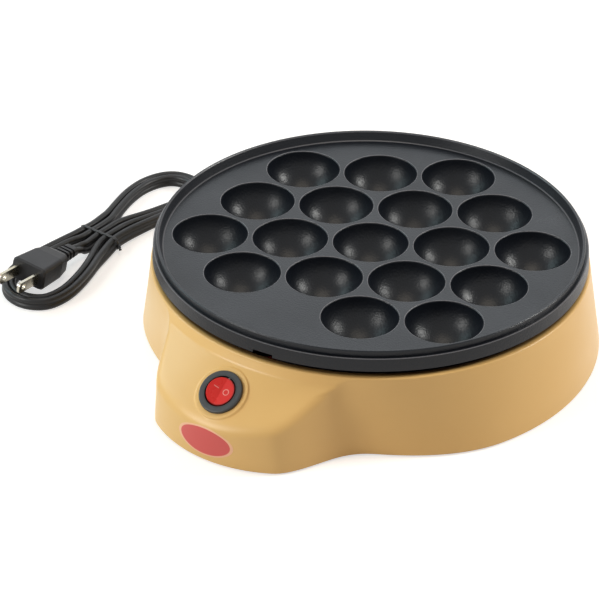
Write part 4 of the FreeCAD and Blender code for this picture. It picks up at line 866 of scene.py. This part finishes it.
def tube(build, points, radius, flat=1.0, steps=12):
    """A tube through points given in mm, its section narrowed across the way up by a share."""
    rings = []
    spots = [place(*p) for p in points]
    for index, spot in enumerate(spots):
        along = (spots[min(len(spots) - 1, index + 1)] - spots[max(0, index - 1)]).normalized()
        reference = Vector((0, 1, 0)) if abs(along.y) < 0.8 else Vector((0, 0, 1))
        first = reference.cross(along).normalized()
        second = along.cross(first)
        turns = [2 * math.pi * i / steps for i in range(steps)]
        rings.append([build.verts.new(spot + (first * math.cos(turn) * radius * flat
                                              + second * math.sin(turn) * radius) * MM) for turn in turns])
    bridge(build, rings)
    build.faces.new(rings[0])
    build.faces.new(rings[-1])


tie, build = add_mesh("cord_tie_wire")
band = [(-158.9, -13.2, 3.6), (-159.0, -13.2, 5.0), (-160.2, -13.1, 6.9), (-162.4, -13.0, 7.65),
        (-165.0, -13.0, 7.35), (-167.7, -13.0, 7.75), (-170.2, -13.0, 7.4), (-172.8, -13.0, 7.75),
        (-175.3, -12.9, 7.4), (-177.9, -12.8, 7.75), (-180.4, -12.7, 7.45), (-183.2, -12.6, 7.7),
        (-185.0, -12.5, 6.9), (-185.2, -12.5, 5.4), (-184.4, -12.6, 3.6), (-182.9, -12.7, 1.6),
        (-181.0, -12.8, 0.62), (-172.0, -13.0, 0.5), (-162.0, -13.2, 0.55), (-159.3, -13.2, 1.4),
        (-158.6, -13.3, 2.6), (-158.4, -13.4, 3.9)]
tube(build, band, 0.85, flat=0.55)
for phase in (0.0, math.pi):
    twist = []
    for i in range(TWIST_STEPS + 1):
        share = i / TWIST_STEPS
        turn = phase + 2 * math.pi * TWIST_TURNS * share
        twist.append((-158.3 + 2.9 * share + 0.21 * math.cos(turn),
                      -13.3 - 2.4 * share + 0.28 * math.cos(turn),
                      3.9 + 1.0 * share - 1.9 * share * share + 0.42 * math.sin(turn)))
    tube(build, twist, 0.5)
close_mesh(tie, build, sharp=70.0)
tie_plastic = finish("tie_plastic", (22, 22, 24), (18, 18, 20), 0.45, relief=0.00002, grain=2400, patch=90)
tie.data.materials.append(tie_plastic)
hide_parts("cord_tie")

# ---- Plug and bushing ----
# A two-blade plug and a bushing moulded in black PVC, the blades in nickel-plated brass.

plug_pvc = finish("plug_pvc", (30, 30, 34), (25, 25, 28), 0.46, relief=0.00002, grain=2200, patch=45,
                  spread=0.05, worn=(56, 56, 58), wear=0.35, scuff=0.15, specular=0.36)
dress(plug_pvc, "plug_body", "cord_bushing")
blade_nickel = finish("blade_nickel", (190, 187, 178), (172, 167, 152), 0.24, relief=0.000006, grain=2600,
                      patch=120, worn=(178, 164, 132), wear=0.5, scuff=0.5, metallic=1.0)
dress(blade_nickel, "plug_blades")
